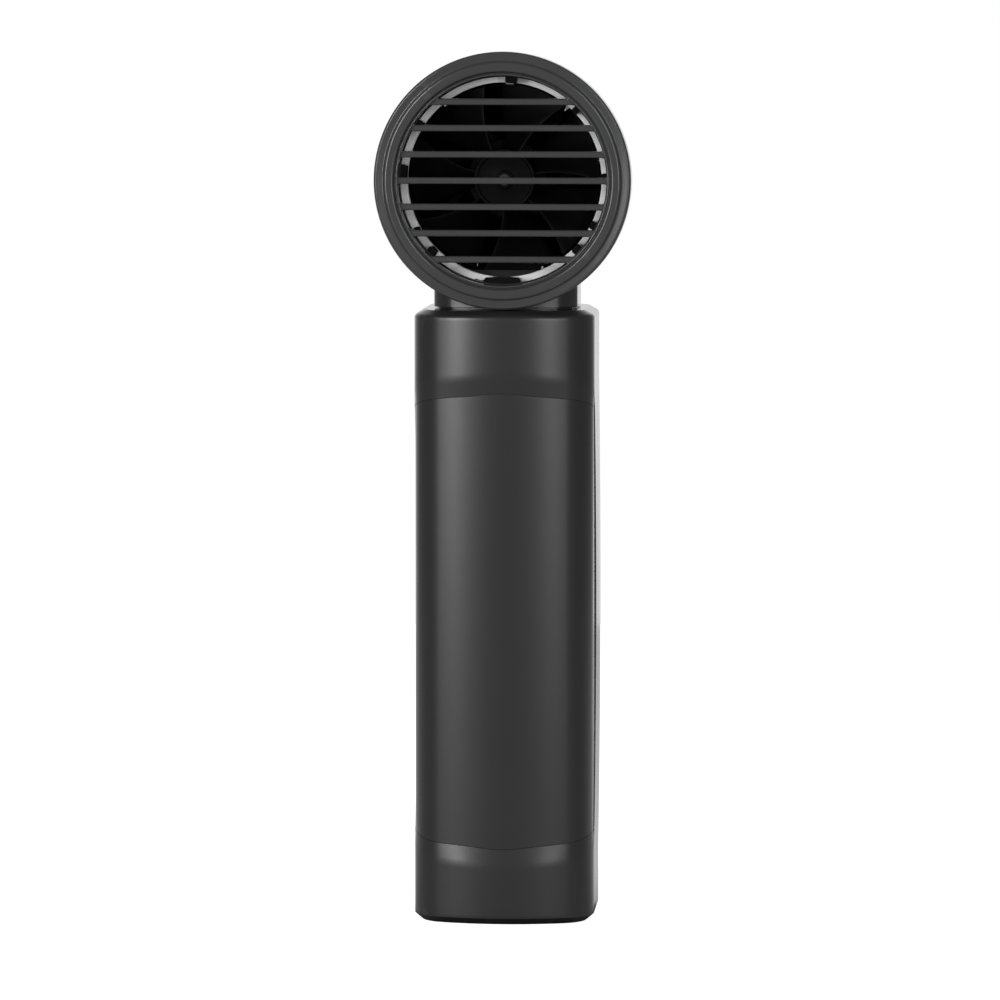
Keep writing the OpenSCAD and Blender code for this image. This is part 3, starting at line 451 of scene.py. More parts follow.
# %% Bright paint and steel
def metallic(name, colour, rough, group=GRAIN, fineness=2500.0, depth=0.00001, metal=1.0, wear=0.0):
    """Metal: colour, roughness range and the group that gives its streaks or grain."""
    made, tree, shader = blank(name)
    marks = placed(tree, group, Fineness=fineness)
    darker, lighter = tuple(c * 0.9 for c in colour), tuple(min(1, c * 1.08) for c in colour)
    drift = blended(tree, marks.outputs["Tone"], darker, lighter)
    worn = placed(tree, WEAR, Amount=wear)
    paler = blended(tree, worn.outputs["Mask"], drift, (0.9, 0.9, 0.9))
    tree.links.new(paler, shader.inputs["Base Color"])
    tree.links.new(mapped(tree, marks.outputs["Height"], *rough), shader.inputs["Roughness"])
    bump = wired(tree, "ShaderNodeBump", {"Height": marks.outputs["Height"]}, Strength=0.3, Distance=depth)
    tree.links.new(bump.outputs[0], shader.inputs["Normal"])
    shader.inputs["Metallic"].default_value = metal
    return made


inlet_metal = metallic("inlet_metal", (0.98, 0.98, 0.97), (0.3, 0.42), STREAKS, 9000.0, metal=0.0)
trim_metal = metallic("trim_metal", (0.82, 0.82, 0.82), (0.2, 0.34), STREAKS, 12000.0)
turned_steel = metallic("turned_steel", (0.55, 0.55, 0.56), (0.24, 0.4), STREAKS, 15000.0)
print("materials so far:", len(bpy.data.materials))

# %% [markdown]
# ## The handle's outline
#
# Seen from above, the handle is four arcs and two flats, all tangent: a crowned palm face, a
# crowned finger face, and corners of a smaller radius that lead into flat flanks. Instead of
# x and y we walk round it: s is the distance from the middle of a face, z is the height, and depth
# is how far a point lies under the skin. All the handle's pieces are drawn in these three numbers,
# so a groove or a step is only a change of depth.

# %% Walk round the handle
PALM, FINGER = -1, 1
HANDLE_TOP, ROOF = 158.0, 155.4
CROWN_R, CORNER_R = 50.0, 10.0
CORNER_X = 13.2
CROWN_Y = 27.0
PALM_Y = CROWN_Y - CROWN_R
FLANK_Y = math.sqrt((CROWN_R - CORNER_R) ** 2 - CORNER_X**2) - CROWN_Y
CROWN_TURN = math.asin(CORNER_X / (CROWN_R - CORNER_R))
CROWN_ARC = CROWN_R * CROWN_TURN
FLANK_AT = CROWN_ARC + CORNER_R * (math.pi / 2 - CROWN_TURN)
SPLIT_AT = FLANK_AT + 2 * FLANK_Y - 0.04
SWELL, SWELL_AT, SWELL_REACH = 0.45, 79, 62


def skin(s, z, depth, face=PALM):
    """On the crown the normal turns by s / 50, on the corner five times as fast, on the flank no more.
    A point is the arc's centre + (radius - depth) along the normal; the finger face mirrors y."""
    s, z, depth = np.broadcast_arrays(*(np.asarray(v, float) for v in (s, z, depth)))
    walk = np.abs(s)
    crown = walk < CROWN_ARC
    turn = np.where(crown, walk / CROWN_R, np.minimum(CROWN_TURN + (walk - CROWN_ARC) / CORNER_R, np.pi / 2))
    radius = np.where(crown, CROWN_R, CORNER_R) - depth
    x = np.sign(s) * (np.where(crown, 0, CORNER_X) + radius * np.sin(turn))
    y = np.where(crown, CROWN_Y, -FLANK_Y) + np.maximum(walk - FLANK_AT, 0) - radius * np.cos(turn)
    return np.stack([x, -face * y, z], axis=-1)


def bulge(z):
    """The flanks swell most at mid height: 0.45 (1 - ((z - 79) / 62)^2), and nothing past its zeros."""
    return SWELL * np.clip(1 - ((z - SWELL_AT) / SWELL_REACH) ** 2, 0, 1)


def flank_share(s):
    """Three tenths of the swelling near the grip's edge, and all of it 10 mm further round."""
    return 0.3 + 0.7 * smooth(FLANK_AT + 6, FLANK_AT + 16, np.abs(s))


print("walk to the corner", round(CROWN_ARC, 2), "to the flank", round(FLANK_AT, 2))
print("walk to the split", round(SPLIT_AT, 2))

# %% [markdown]
# ## Where the grip's border runs
#
# The palm grip is set into the shell. Two straight creases cross the palm face, and each falls
# towards the flanks. On the flanks a long bowed edge joins them. The grid of the shell follows
# these lines: its rows and columns are stations between named lines, such as "halfway from the
# lower crease to the upper one". Lines and stations depend on each other, so a few rounds of
# repeating the two formulas settle them.

# %% Lines of the grip and the grid that follows them
GRIP_LOW, GRIP_HIGH, CREASE_SLOPE = 19.5, 137.0, 0.3
GRIP_EDGE_Y, GRIP_BOW_R = -4.0, 250.04
RAMP_UP, RAMP_DOWN = 5.9, 5.7
POCKET = 1.9
SIDE_GAP, CREASE_GAP, RAIL = 3.0, 6.0, 2.5
SKIN_LOW = 2.6
GRIP_SHALLOW, GRIP_DEEPER = 0.2, 0.35
ROUNDS = 14


def edge_walk(z):
    """The bowed edge on the flank, as a walk: a circle of radius 250 in side view."""
    y = GRIP_EDGE_Y - GRIP_BOW_R + np.sqrt(GRIP_BOW_R**2 - (z - (GRIP_LOW + GRIP_HIGH) / 2) ** 2)
    return FLANK_AT + y + FLANK_Y


def creases(s):
    """Heights of the lower and upper crease at a walk s: each turns in by 0.3 mm for each mm of y, and by
    0.55 mm more off the middle."""
    turn_in = CREASE_SLOPE * (skin(s, 0, 0)[..., 1] - PALM_Y) + 0.55 * smooth(0, 11, np.abs(s))
    return GRIP_LOW + turn_in, GRIP_HIGH - turn_in


def between(lines, station):
    """Station 1.5 is halfway between line 1 and line 2: each line counts by 1 - |station - its number|."""
    return sum(line * np.maximum(0, 1 - np.abs(station - k)) for k, line in enumerate(lines))


def settle(row, col):
    """Repeats s from z and z from s, until both fit: 14 rounds are far more than these slopes need."""
    col = np.broadcast_to(col, (len(row), len(col)))
    row = np.broadcast_to(row[:, None], col.shape)
    s, z = col * 10.0, row * 30.0
    for _ in range(ROUNDS):
        edge = edge_walk(np.clip(z, 0, HANDLE_TOP))
        walks = [0 * edge, edge - SIDE_GAP, edge, edge + RAIL, SPLIT_AT + 0 * edge]
        s = np.sign(col) * between(walks, np.abs(col))
        low, high = creases(s)
        heights = [SKIN_LOW + 0 * low, low - CREASE_GAP, low, high, high + CREASE_GAP, ROOF + 0 * low]
        z = between(heights, row)
    return s, z, edge


print("creases in the middle", [round(float(v), 2) for v in creases(0.0)], "mm up")
print("creases at the flanks", [round(float(v), 2) for v in creases(FLANK_AT)], "mm up")

# %% [markdown]
# ## How deep the skin lies
#
# Above and below the grip the shell ramps down to the crease, so the palm feels a step there. On
# the flanks the skin swells instead. A weight that rises towards the grip's edge blends the two,
# and it rises more softly away from a crease. The same function rounds the split's edge.

# %% Depth of the grip and of the skin round it
def grip_depth(s):
    """How far the grip lies under the skin: 0.55 mm in the middle of the palm, 0.2 mm on the flanks."""
    return GRIP_SHALLOW + GRIP_DEEPER * (1 - smooth(6, 27, np.abs(s)))


def band_depth(s, z, edge):
    """With g = the grip's depth and u = distance / length, a ramp g (1 - 1.25 u) leads down to each crease,
    and from u = 0.6 on it eases out as 1.5625 g (1 - u)^2. Outside the grip's edge the flank is swollen."""
    low, high = creases(s)
    up, down = z - high, low - z
    away = np.maximum(up, down)
    share = np.where(up > down, 1 - up / RAMP_UP, 1 - down / RAMP_DOWN)
    share = np.clip(share, 0, 1)
    ramp = grip_depth(s) * np.where(share > 0.4, 1 - 1.25 * (1 - share), 1.5625 * share**2)
    soft = 0.02 + 3.0 * smooth(0, 4.5, away)
    rail = smooth(edge - soft, edge, np.abs(s))
    past_edge = np.abs(s) - edge
    edge_round = np.where((past_edge >= -1e-6) & (away < 0), quarter(past_edge, 0.3), 0)
    swollen = bulge(z) * flank_share(s)
    return (1 - rail) * ramp - rail * swollen + edge_round + quarter(SPLIT_AT - np.abs(s), 0.2)


print("grip's depth in the middle", round(float(grip_depth(0)), 2), "mm, on the flank", GRIP_SHALLOW, "mm")

# %% [markdown]
# ## The opening under the head
#
# The handle's flat top has an opening for the neck: crowned like the palm, with rounded corners.
# The shell's columns have to run into its rim, so the rim is walked in step with the skin.

# %% The opening's rim
HOLE_HALF, HOLE_CORNER, HOLE_CORNER_HALF = 13.5, 3.9, 3.06
HOLE_CORNER_AT = 22.99
RIM_SPLIT = 10.86


def neck_crown(x):
    """How far the neck's rear face falls back from its middle: an arc of 50 mm, like the palm below it."""
    return CROWN_R - np.sqrt(CROWN_R**2 - x**2)


def neck_hole(s, face, limit):
    """The opening's rim, walked in the same share of its length as the skin: crowned, a corner, straight."""
    far, stop = (12.2, -10.76) if face == PALM else (13.9, 9.9)
    turn = np.linspace(0, np.pi / 2, 9)
    xs = np.concatenate([[0], HOLE_HALF + HOLE_CORNER * np.sin(turn), [HOLE_HALF + HOLE_CORNER]])
    ys = np.concatenate([[far], far - HOLE_CORNER + HOLE_CORNER * np.cos(turn), [stop]])
    if face == PALM:
        xs, ys = np.insert(xs, 1, [4.5, 9.0]), np.insert(ys, 1, [far, far])
        ys = ys - neck_crown(xs) * smooth(2, 12, ys)
    run = np.concatenate([[0], np.cumsum(np.hypot(np.diff(xs), np.diff(ys)))])
    run_end = run[-1] if face == PALM else np.interp(-RIM_SPLIT, -ys[1:], run[1:])
    walk = np.interp(np.abs(s), [0, HOLE_CORNER_AT, limit], [0, HOLE_HALF + HOLE_CORNER_HALF, run_end])
    return np.stack([np.sign(s) * np.interp(walk, run, xs), face * np.interp(walk, run, ys)], axis=-1)


rim_ends = neck_hole(np.array([0, SPLIT_AT]), PALM, SPLIT_AT)
print("the rim goes from and to", np.round(rim_ends, 2).tolist())

# %% [markdown]
# ## Spacing of rows
#
# A smooth stretch needs few rows and a tight bend needs many. One helper spaces rows band by band,
# and the other walks round the corners of a path, such as the chamfer at the top of the handle.

# %% Rows by bands, rows along a path
def spaced(*stops):
    """Rows that get their spacing from (start, end, count) triples, without repeats."""
    return np.unique(np.round(np.concatenate([np.linspace(a, b, n) for a, b, n in stops]), 7))


def arc_rows(points, radius=0.45, steps=5):
    """Rows (depth, height) along an open path, its inner corners rounded."""
    path = np.asarray(points, float)
    radius = np.append(np.broadcast_to(radius, len(path)), [1, 1])
    bent = rounded(np.concatenate([path, path[-1:] + [[40, -40]], path[:1] + [[40, 40]]]), radius, steps)
    return np.concatenate([path[:1], bent[steps:(len(path) - 1) * steps], path[-1:]])


print("three rows, then four closer ones:", spaced((0, 1, 3), (1, 1.2, 5)).tolist())

# %% [markdown]
# ## The palm shell
#
# The shell is a tub: skin, chamfered base and top, a flat top plate with the opening for the neck,
# and the pocket for the grip. Outside and inside are the same grid, so the wall closes itself.
# The top plate is a fan of rows from the chamfer in to the opening's rim.

# %% A tub from rows
TOP_EDGE = [(0, 154.6), (0, 156.6), (2.6, HANDLE_TOP), (3.2, HANDLE_TOP)]
TOP_RADII = (1, 1.25, 0.45, 1)
RIM_DROP = 0.15


def tub(s, z, depth, wall, face, limit, base_rows):
    """Base rows, skin rows, chamfer rows and the top plate's rows, outside and inside, as two equal grids."""
    chamfer = [skin(s[-1], h, depth[-1] + d, face) for d, h in arc_rows(TOP_EDGE, TOP_RADII, 7)[1:]]
    rim = np.concatenate([neck_hole(s[-1], face, limit), np.full((s.shape[1], 1), HANDLE_TOP)], axis=1)
    share = np.array([0.15, 0.4, 0.7, 0.97, 1.0])[:, None, None]
    plate = chamfer[-1] + (rim - chamfer[-1]) * share
    plate[-1, :, 2] -= RIM_DROP
    base = np.array([skin(s[0], h, depth[0] + d, face) for d, h in base_rows]).reshape(-1, s.shape[1], 3)
    outer = np.concatenate([base, skin(s, z, depth, face), chamfer, plate])
    count = len(base_rows)
    start = 0.0 if count else z[0]
    inside_low = [skin(s[0], start + (z[0] - start) * k / max(1, count), wall, face) for k in range(count)]
    inner_wall = skin(s, z, wall, face)
    last = inner_wall[-1]
    roof = np.concatenate([rim[:, :2], np.full((s.shape[1], 1), ROOF)], axis=1)
    count = len(chamfer) + len(plate)
    ceiling = [last + (roof - last) * (k + 1) / count for k in range(count)]
    inner = np.concatenate([np.array(inside_low).reshape(-1, s.shape[1], 3), inner_wall, ceiling])
    return walled(outer, inner, grid_quads(*outer.shape[:2]))


print("rows of the top edge:", len(arc_rows(TOP_EDGE, TOP_RADII, 7)) - 1)

# %% [markdown]
# ## Stations of the palm shell
#
# Rows and columns lie closer where the surface bends: at the creases, at the grip's edge and at the
# split. A station's whole part names a line, and the rest is the share of the way to the next one,
# so a distance in millimetres is divided by the length of its band.

# %% Palm shell
SHELL_WALL, HAIR, GRIP_SPAN = 3.0, 0.05, 105
edge_end = 2 + 0.3 / RAIL
crease_round = 0.4 / CREASE_GAP
split_start = 4 - 0.01
half_cols = spaced(
    (0, 1, 44), (1, 2, 14), (2, edge_end, 6), (edge_end, 3, 8), (3, split_start, 26), (split_start, 4, 4)
)
half_cols = np.sort(np.append(half_cols, 2 - HAIR / SIDE_GAP))
cols = np.concatenate([-half_cols[:0:-1], half_cols])
rows = np.sort(
    np.concatenate(
        [
            spaced((0, 1, 9), (1, 2 - crease_round, 22), (2 - crease_round, 2, 5)),
            spaced((2, 3, 46))[1:-1],
            [2 + HAIR / GRIP_SPAN, 3 - HAIR / GRIP_SPAN],
            spaced((3, 3 + crease_round, 5), (3 + crease_round, 4, 22), (4, 5, 9)),
        ]
    )
)
walk, height, edge = settle(rows, cols)
shell_depth = band_depth(walk, height, edge)
inside = (rows[:, None] > 2) & (rows[:, None] < 3) & (np.abs(cols)[None] < 2)
shell_depth = np.where(inside, POCKET, shell_depth)
base_rows = arc_rows([(2.7, 0.0), (2.0, 0.0), (0.0, 1.7), (0.0, 2.3)], (1, 0.45, 0.15, 1))[:-1]
shell_skin = tub(walk, height, shell_depth, SHELL_WALL, PALM, SPLIT_AT, base_rows)
piece("palm_shell", [shell_skin], shell_plastic, ["handle_shell"], crisp=30)

# %% [markdown]
# ## The grip panel
#
# The grip is a separate, slightly softer panel. It follows the same border lines, a hair inside
# them, and lies at the grip's depth, so its surface meets the foot of each ramp in a crisp crease
# while the flanks stand proud of it.

# %% Grip panel
SIDE_CLEAR, CREASE_CLEAR = 0.08, 0.05
PANEL_WALL = 1.0


def panel():
    """The outer sheet lies at the grip's depth. Its edge has a round of 0.06 mm at the creases and of
    0.18 mm on the flanks. The inner sheet lies 1 mm below it."""
    across = spaced((0, 0.97, 60), (0.97, 1, 8))
    across = np.concatenate([-across[:0:-1], across])
    along = spaced((0, 0.004, 6), (0.004, 0.996, 80), (0.996, 1, 6))
    s, z = across[None] * 30.0 + 0 * along[:, None], GRIP_LOW + along[:, None] * 110 + 0 * across[None]
    for _ in range(ROUNDS):
        s = across[None] * (edge_walk(z) - SIDE_CLEAR)
        low, high = creases(s)
        z = low + CREASE_CLEAR + (high - low - 2 * CREASE_CLEAR) * along[:, None]
    rim = np.minimum(np.minimum(z - low, high - z) - CREASE_CLEAR, 9)
    side = edge_walk(z) - SIDE_CLEAR - np.abs(s)
    depth = grip_depth(s) + quarter(rim, 0.06) + quarter(side, 0.18)
    return walled(skin(s, z, depth), skin(s, z, grip_depth(s) + PANEL_WALL), grid_quads(*s.shape))


piece("palm_grip", [panel()], grip_plastic, ["grip_panel"], crisp=30)

# %% [markdown]
# ## A sheet with openings
#
# The finger-side cover has openings for the trigger, the button and four small lights, and the base
# cap has one for the charge port. A boolean would cut them, but leaves knife edges and slivers.
# Instead a block of cells is left out of the grid, and rings of points lead from the block's border
# in to the opening's outline. The last rings sink, which rounds the rim.

# %% Grid with openings
def outline_towards(direction, width, high, corner, steps=12):
    """The point of a rounded rectangle in each direction from its middle, read off by angle."""
    x, y, r = width / 2, high / 2, corner
    shape = rounded([(x, -y), (x, y), (-x, y), (-x, -y)], r, steps)
    angle = np.unwrap(np.arctan2(shape[:, 1], shape[:, 0]))
    turns = np.concatenate([angle - 2 * np.pi, angle, angle + 2 * np.pi])
    loop = np.concatenate([shape, shape, shape])
    at = np.arctan2(direction[:, 1], direction[:, 0])
    return np.stack([np.interp(at, turns, loop[:, k]) for k in (0, 1)], axis=-1)


def pierced(s_lines, z_lines, openings, rim=0.35):
    """Cells of the grid less one block for each opening, plus rings at set distances from its outline.
    An opening is (s, z, width, height, corner, two half sizes of the block).
    What comes back is walk, height, extra depth and quads."""
    s, z = np.meshgrid(s_lines, z_lines)
    at = np.arange(s.size).reshape(s.shape)
    keep = np.ones((len(z_lines) - 1, len(s_lines) - 1), bool)
    points, extra, rings = [np.stack([s.ravel(), z.ravel()], axis=1)], [np.zeros(s.size)], []
    count = s.size
    for mid_s, mid_z, width, high, corner, half_s, half_z in openings:
        left, right = (int(np.argmin(np.abs(s_lines - v))) for v in (mid_s - half_s, mid_s + half_s))
        low, top = (int(np.argmin(np.abs(z_lines - v))) for v in (mid_z - half_z, mid_z + half_z))
        keep[low:top, left:right] = False
        out_and_up = [at[low, left:right], at[low:top, right]]
        back_and_down = [at[top, right:left:-1], at[top:low:-1, left]]
        loop = np.concatenate(out_and_up + back_and_down)
        border = points[0][loop] - (mid_s, mid_z)
        target = outline_towards(border, width, high, corner)
        gap = np.linalg.norm(border - target, axis=1, keepdims=True)
        inset = np.array([0.0, 0.04, 0.1, 0.18, 0.27, rim, 0.6, 1.2])[::-1]
        stages = [target + (border - target) * np.minimum(0.85, d / gap) for d in inset]
        falls = [quarter(d, rim) for d in inset]
        ring_at = [loop] + [count + k * len(loop) + np.arange(len(loop)) for k in range(len(stages))]
        for near, far in zip(ring_at[:-1], ring_at[1:]):
            rings.append(np.stack([near, np.roll(near, -1), np.roll(far, -1), far], axis=1))
        points.append(np.concatenate(stages) + (mid_s, mid_z))
        extra.append(np.repeat(falls, len(loop)))
        count += len(loop) * len(stages)
    cells = np.stack([at[:-1, :-1], at[:-1, 1:], at[1:, 1:], at[1:, :-1]], axis=-1)[keep]
    points = np.concatenate(points)
    return points[:, 0], points[:, 1], np.concatenate(extra), np.concatenate([cells, *rings])


def cover_depth(s, z):
    """The flank's swelling, which grows from nothing round the corner, and a 0.2 mm round at the split."""
    return -bulge(z) * smooth(CROWN_ARC + 3, FLANK_AT, np.abs(s)) + quarter(FLANK_AT - 0.1 - np.abs(s), 0.2)


straight_up = outline_towards(np.array([[0.0, 1.0]]), 4, 4, 1)
print("a square of 4 mm, straight up from its middle:", straight_up.round(2).tolist())

# %% [markdown]
# ## The finger-side cover
#
# The cover mirrors the palm face. Its sheet carries the openings up to just under the top, and a
# second grid makes the chamfer and its share of the top plate.

# %% Finger cover
COVER_LIMIT, COVER_LOW, COVER_WALL = FLANK_AT - 0.1, 11.1, 2.4
TRIGGER_Z, BUTTON_Z, LIGHTS_Z = 128, 98, 86.5
half = np.unique(
    np.concatenate(
        [
            [0, 2, 4, 6, 8, 11],
            np.linspace(11, CROWN_ARC, 6),
            np.linspace(CROWN_ARC, COVER_LIMIT - 0.25, 16),
            COVER_LIMIT - np.array([0.2, 0.12, 0.05, 0]),
        ]
    )
)
s_lines = np.concatenate([-half[:0:-1], half])
z_lines = np.unique(
    np.concatenate(
        [
            COVER_LOW + np.array([0, 0.05, 0.12, 0.25]),
            np.linspace(13, 81, 22),
            [84.5, 86.5, 88.5, 89.5],
            np.linspace(91, 105, 11),
            [106.5, 108.5],
            np.linspace(110, 146, 22),
            [147.5, 150, 153, ROOF],
        ]
    )
)
# Walk, height, width, height, corner and the block's two half sizes of each opening
openings = [
    (0, TRIGGER_Z, 15.8, 30.8, 4.0, 11, 19.5),
    (0, BUTTON_Z, 11.8, 11.8, 5.88, 11, 8.5),
    *[((i - 1.5) * 4, LIGHTS_Z, 1.92, 1.92, 0.955, 2, 2) for i in range(4)],
]
cover_s, cover_z, fall, cover_quads = pierced(s_lines, z_lines, openings)
low_round = quarter(cover_z - COVER_LOW, 0.2)
cover_out = skin(cover_s, cover_z, cover_depth(cover_s, cover_z) + fall + low_round, FINGER)
cover_in = skin(cover_s, np.minimum(cover_z, ROOF), COVER_WALL, FINGER)
top_s = np.stack([s_lines, s_lines])
top_z = np.array([[155.0], [ROOF]]) + 0 * top_s
cover_top = tub(top_s, top_z, cover_depth(top_s, top_z), COVER_WALL, FINGER, COVER_LIMIT, [])
cover_sheet = walled(cover_out, cover_in, cover_quads)
piece("finger_side_cover", [cover_sheet, cover_top], shell_plastic, ["finger_cover"], crisp=30)

# %% [markdown]
# ## The base cap
#
# The cap closes the handle from below: a skirt that carries on the finger face, with the charge
# port's opening, a rounded foot under it, and a floor plate that slips between the shell's walls.
# Three simple skins that overlap out of sight are easier to follow than one that does everything.

# %% Skirt and foot of the base cap
CAP_TOP, PORT_Z = 11.0, 6.8
cap_z = np.array([2.4, 3.2, 4.4, 5.2, 6.0, 6.8, 7.6, 8.4, 9.2, 10, 10.75, 10.88, 10.95, CAP_TOP])
cap_corner = half[half > CROWN_ARC]
cap_half = np.unique(np.concatenate([np.linspace(0, 7, 8), np.linspace(7, CROWN_ARC, 7), cap_corner]))
cap_s = np.concatenate([-cap_half[:0:-1], cap_half])
port_opening = (0, PORT_Z, 9.4, 3.6, 1.7, 7, 2.4)
skirt_s, skirt_z, skirt_fall, skirt_quads = pierced(cap_s, cap_z, [port_opening], rim=0.25)
skirt_depth = cover_depth(skirt_s, skirt_z) + skirt_fall + quarter(CAP_TOP - skirt_z, 0.2)
skirt_out = skin(skirt_s, skirt_z, skirt_depth, FINGER)
skirt = walled(skirt_out, skin(skirt_s, skirt_z, COVER_WALL, FINGER), skirt_quads)
foot_rows = arc_rows([(2.9, 0.0), (2.0, 0.0), (0.0, 1.7), (0.0, 2.4)], (1, 0.45, 0.15, 1))
foot_s = np.broadcast_to(cap_s, (len(foot_rows), len(cap_s)))
foot_depth = foot_rows[:, :1] + quarter(COVER_LIMIT - np.abs(foot_s), 0.2)
foot_out = skin(foot_s, foot_rows[:, 1:], foot_depth, FINGER)
foot_in = skin(foot_s, np.linspace(0.05, 2.4, len(foot_rows))[:, None], SHELL_WALL, FINGER)
foot = walled(foot_out, foot_in, grid_quads(*foot_s.shape))
print("skirt's quads:", len(skirt[1]), "foot's quads:", len(foot[1]))

# %% [markdown]
# ## The cap's floor plate
#
# The plate is a loop round the whole handle, a little under its skin, lofted through six heights.
# At its lower and upper edge the loop shrinks a little, which rounds the edge.

# %% Floor plate
def round_outline(inset_palm, inset_finger, count=96):
    """A loop round the whole handle under its skin: the palm's walk to both splits, then the finger's."""
    palm = np.linspace(-SPLIT_AT, SPLIT_AT, count)
    finger = np.linspace(FLANK_AT - 0.2, -FLANK_AT + 0.2, count)
    return np.concatenate([skin(palm, 0, inset_palm)[:, :2], skin(finger, 0, inset_finger, FINGER)[:, :2]])


def plate(loop, low, high, soft=0.2):
    """A flat plate from a loop: rings that shrink by about the soft radius at the lower and upper edge."""
    near = soft * 0.3
    lower = ((low, soft), (low + near, near), (low + soft, 0))
    upper = ((high - soft, 0), (high - near, near), (high, soft))
    rings = []
    for z, shrink in lower + upper:
        ring = loop * (1 - shrink / 20)
        rings.append(np.concatenate([ring, np.full((len(ring), 1), z)], axis=1))
    return lofted(np.array(rings))


floor_plate = plate(round_outline(3.1, 2.9), 0.0, 2.6)
piece("closing_cap", [skirt, foot, floor_plate], shell_plastic, ["base_cap"], crisp=30)

# %% [markdown]
# ## The head: barrel and neck
#
# The barrel is turned, and the neck grows out of it. Where they meet, a moulding has a hollow
# fillet. The neck's rows climb straight up, and near the barrel they lean outward along a quarter
# circle until they lie on the barrel's skin.

# %% Barrel
def barrel_radius(back):
    """31 mm up to 26.5 mm behind the bezel's front, then straight down to 29 mm at 60 mm."""
    return np.interp(back, [26.5, 60], [31, 29])


barrel_outside = [(28.7, 3.7), (30.7, 3.7), (30.7, 8.1), (31, 8.1), (31, 26.5), (29, 60)]
barrel_inside = [(27, 60), (29, 26.5), (29, 10), (28.7, 8)]
barrel_round = [0.2, 0.2, 0.05, 0.25, 9, 0.4, 0.3, 9, 1, 0.5]
barrel = turned(rounded(barrel_outside + barrel_inside, barrel_round), 224)
print("barrel's radius in front", barrel_radius(60), "mm, behind", barrel_radius(26.5), "mm")

# %% [markdown]
# ## The neck
#
# The neck is a rounded rectangle whose rear face is crowned like the palm. It stops a little above
# the handle's top, so a thin dark gap shows there, and a narrower stem goes on down into the
# opening.

# %% Neck and head
NECK_REAR, NECK_FRONT, NECK_HALF, NECK_CORNER = -13.3, 15, 18.5, 5.0
NECK_MIDDLE = 0.85
FILLET_FROM, NECK_TOP = 158.7, 168.0
NECK_STEM = [(3.0, 149.0), (1.3, 149.2), (1.25, 158.3)]
NECK_FOOT = [(0.45, 158.33), (0.12, 158.38), (0.0, 158.5), (0.0, 158.57)]


def neck_outline():
    """The rounded rectangle as a loop of points in the order of their angle, at least 0.05 mm apart."""
    back, front = (NECK_HALF, NECK_REAR), (NECK_HALF, NECK_FRONT)
    side = rounded([back, front, (-NECK_HALF, NECK_FRONT), (-NECK_HALF, NECK_REAR)], NECK_CORNER, 14)
    share = np.linspace(0, 1, 8, endpoint=False)[:, None]
    ends = zip(side, np.roll(side, -1, axis=0))
    straight = [share * (b - a) + a for a, b in ends if np.hypot(*(b - a)) > 2]
    side = np.concatenate([side, *straight])
    side = side[np.argsort(np.arctan2(side[:, 1] - NECK_MIDDLE, side[:, 0]))]
    return side[np.concatenate([[True], np.hypot(*np.diff(side, axis=0).T) > 0.05])]


def neck(fillet=2.6, steps=10):
    """Rings up the outline, each shrunk by its own amount in the stem and foot. The top ones go out by
    f (1 - cos t) and stay f (1 - sin t) under the barrel's skin, which is a quarter circle."""
    side = neck_outline()
    side = side[: len(side) // 2 * 2]
    side[:, 1] += neck_crown(side[:, 0]) * smooth(2, 12, -side[:, 1])
    out = np.roll(side, -1, axis=0) - np.roll(side, 1, axis=0)
    out = np.stack([out[:, 1], -out[:, 0]], axis=1) / np.linalg.norm(out, axis=1, keepdims=True)

    def top_at(xy):
        radius = barrel_radius(xy[:, 1] + BEZEL_BACK) - 0.15
        return HEAD_Z - np.sqrt(np.maximum(radius**2 - xy[:, 0] ** 2, 4))

    rings = []
    for shrink, z in NECK_STEM + NECK_FOOT:
        rings.append(np.column_stack([side - out * shrink, np.full(len(side), z)]))
    # The fillet is smaller where the barrel comes close to the foot, and towards the rear face
    room = top_at(side + out * fillet) - FILLET_FROM
    behind = 0.15 + np.maximum(side[:, 1] - NECK_REAR, 0) * 1.2
    size = np.minimum(np.minimum(fillet, np.maximum(room, 0.35)), behind)
    rings.append(np.column_stack([side, top_at(side) - size - 0.1]))
    for t in np.linspace(0, np.pi / 2, steps):
        lean = side + out * (size * (1 - np.cos(t)))[:, None]
        rings.append(np.column_stack([lean, top_at(lean) - size * (1 - np.sin(t))]))
    lean = side * 0.8
    rings.append(np.column_stack([lean, np.full(len(side), NECK_TOP)]))
    return lofted(np.array(rings))


piece("head_housing", [barrel, neck()], shell_plastic, ["head_shell"], crisp=32)

# %% [markdown]
# ## The outlet
#
# The nozzle narrows the barrel to a mouth, and a bright ring closes its edge. Both are turned from
# rounded profiles.

# %% Nozzle and trim
nozzle_outside = [(24.7, 55), (26.9, 55), (26.9, 60.1), (29, 60.1), (28.4, 66), (22.2, 83), (21, 88.9)]
nozzle_inside = [(18.8, 88.9), (20, 83), (26.2, 66), (24.7, 62)]
nozzle_round = [0.4, 0.2, 0.05, 0.5, 10, 10, 0.3, 0.3, 8, 8, 6]
nozzle = turned(rounded(nozzle_outside + nozzle_inside, nozzle_round, 9), 192)
piece("outlet_cone", [nozzle], shell_plastic, ["outlet_nozzle"], crisp=32)
trim_profile = [(18.9, 89), (21, 89), (21, 91.4), (20.4, 92), (19.3, 92), (18.9, 91.6)]
trim = turned(rounded(trim_profile, 0.35, 6), 192)
piece("mouth_ring", [trim], trim_metal, ["outlet_trim"], crisp=50)

# %% [markdown]
# ## The bezel
#
# The rear of the head is one moulding: a ring with a wide outer bead and a narrower inner one, seven
# slats across the opening, and short legs behind them. The ring is a turned profile. Its beads, the
# hollow between them, the groove and the thin lip are corners of the profile, each with its own
# radius.

# %% Bezel ring
OPENING_R = 26.8
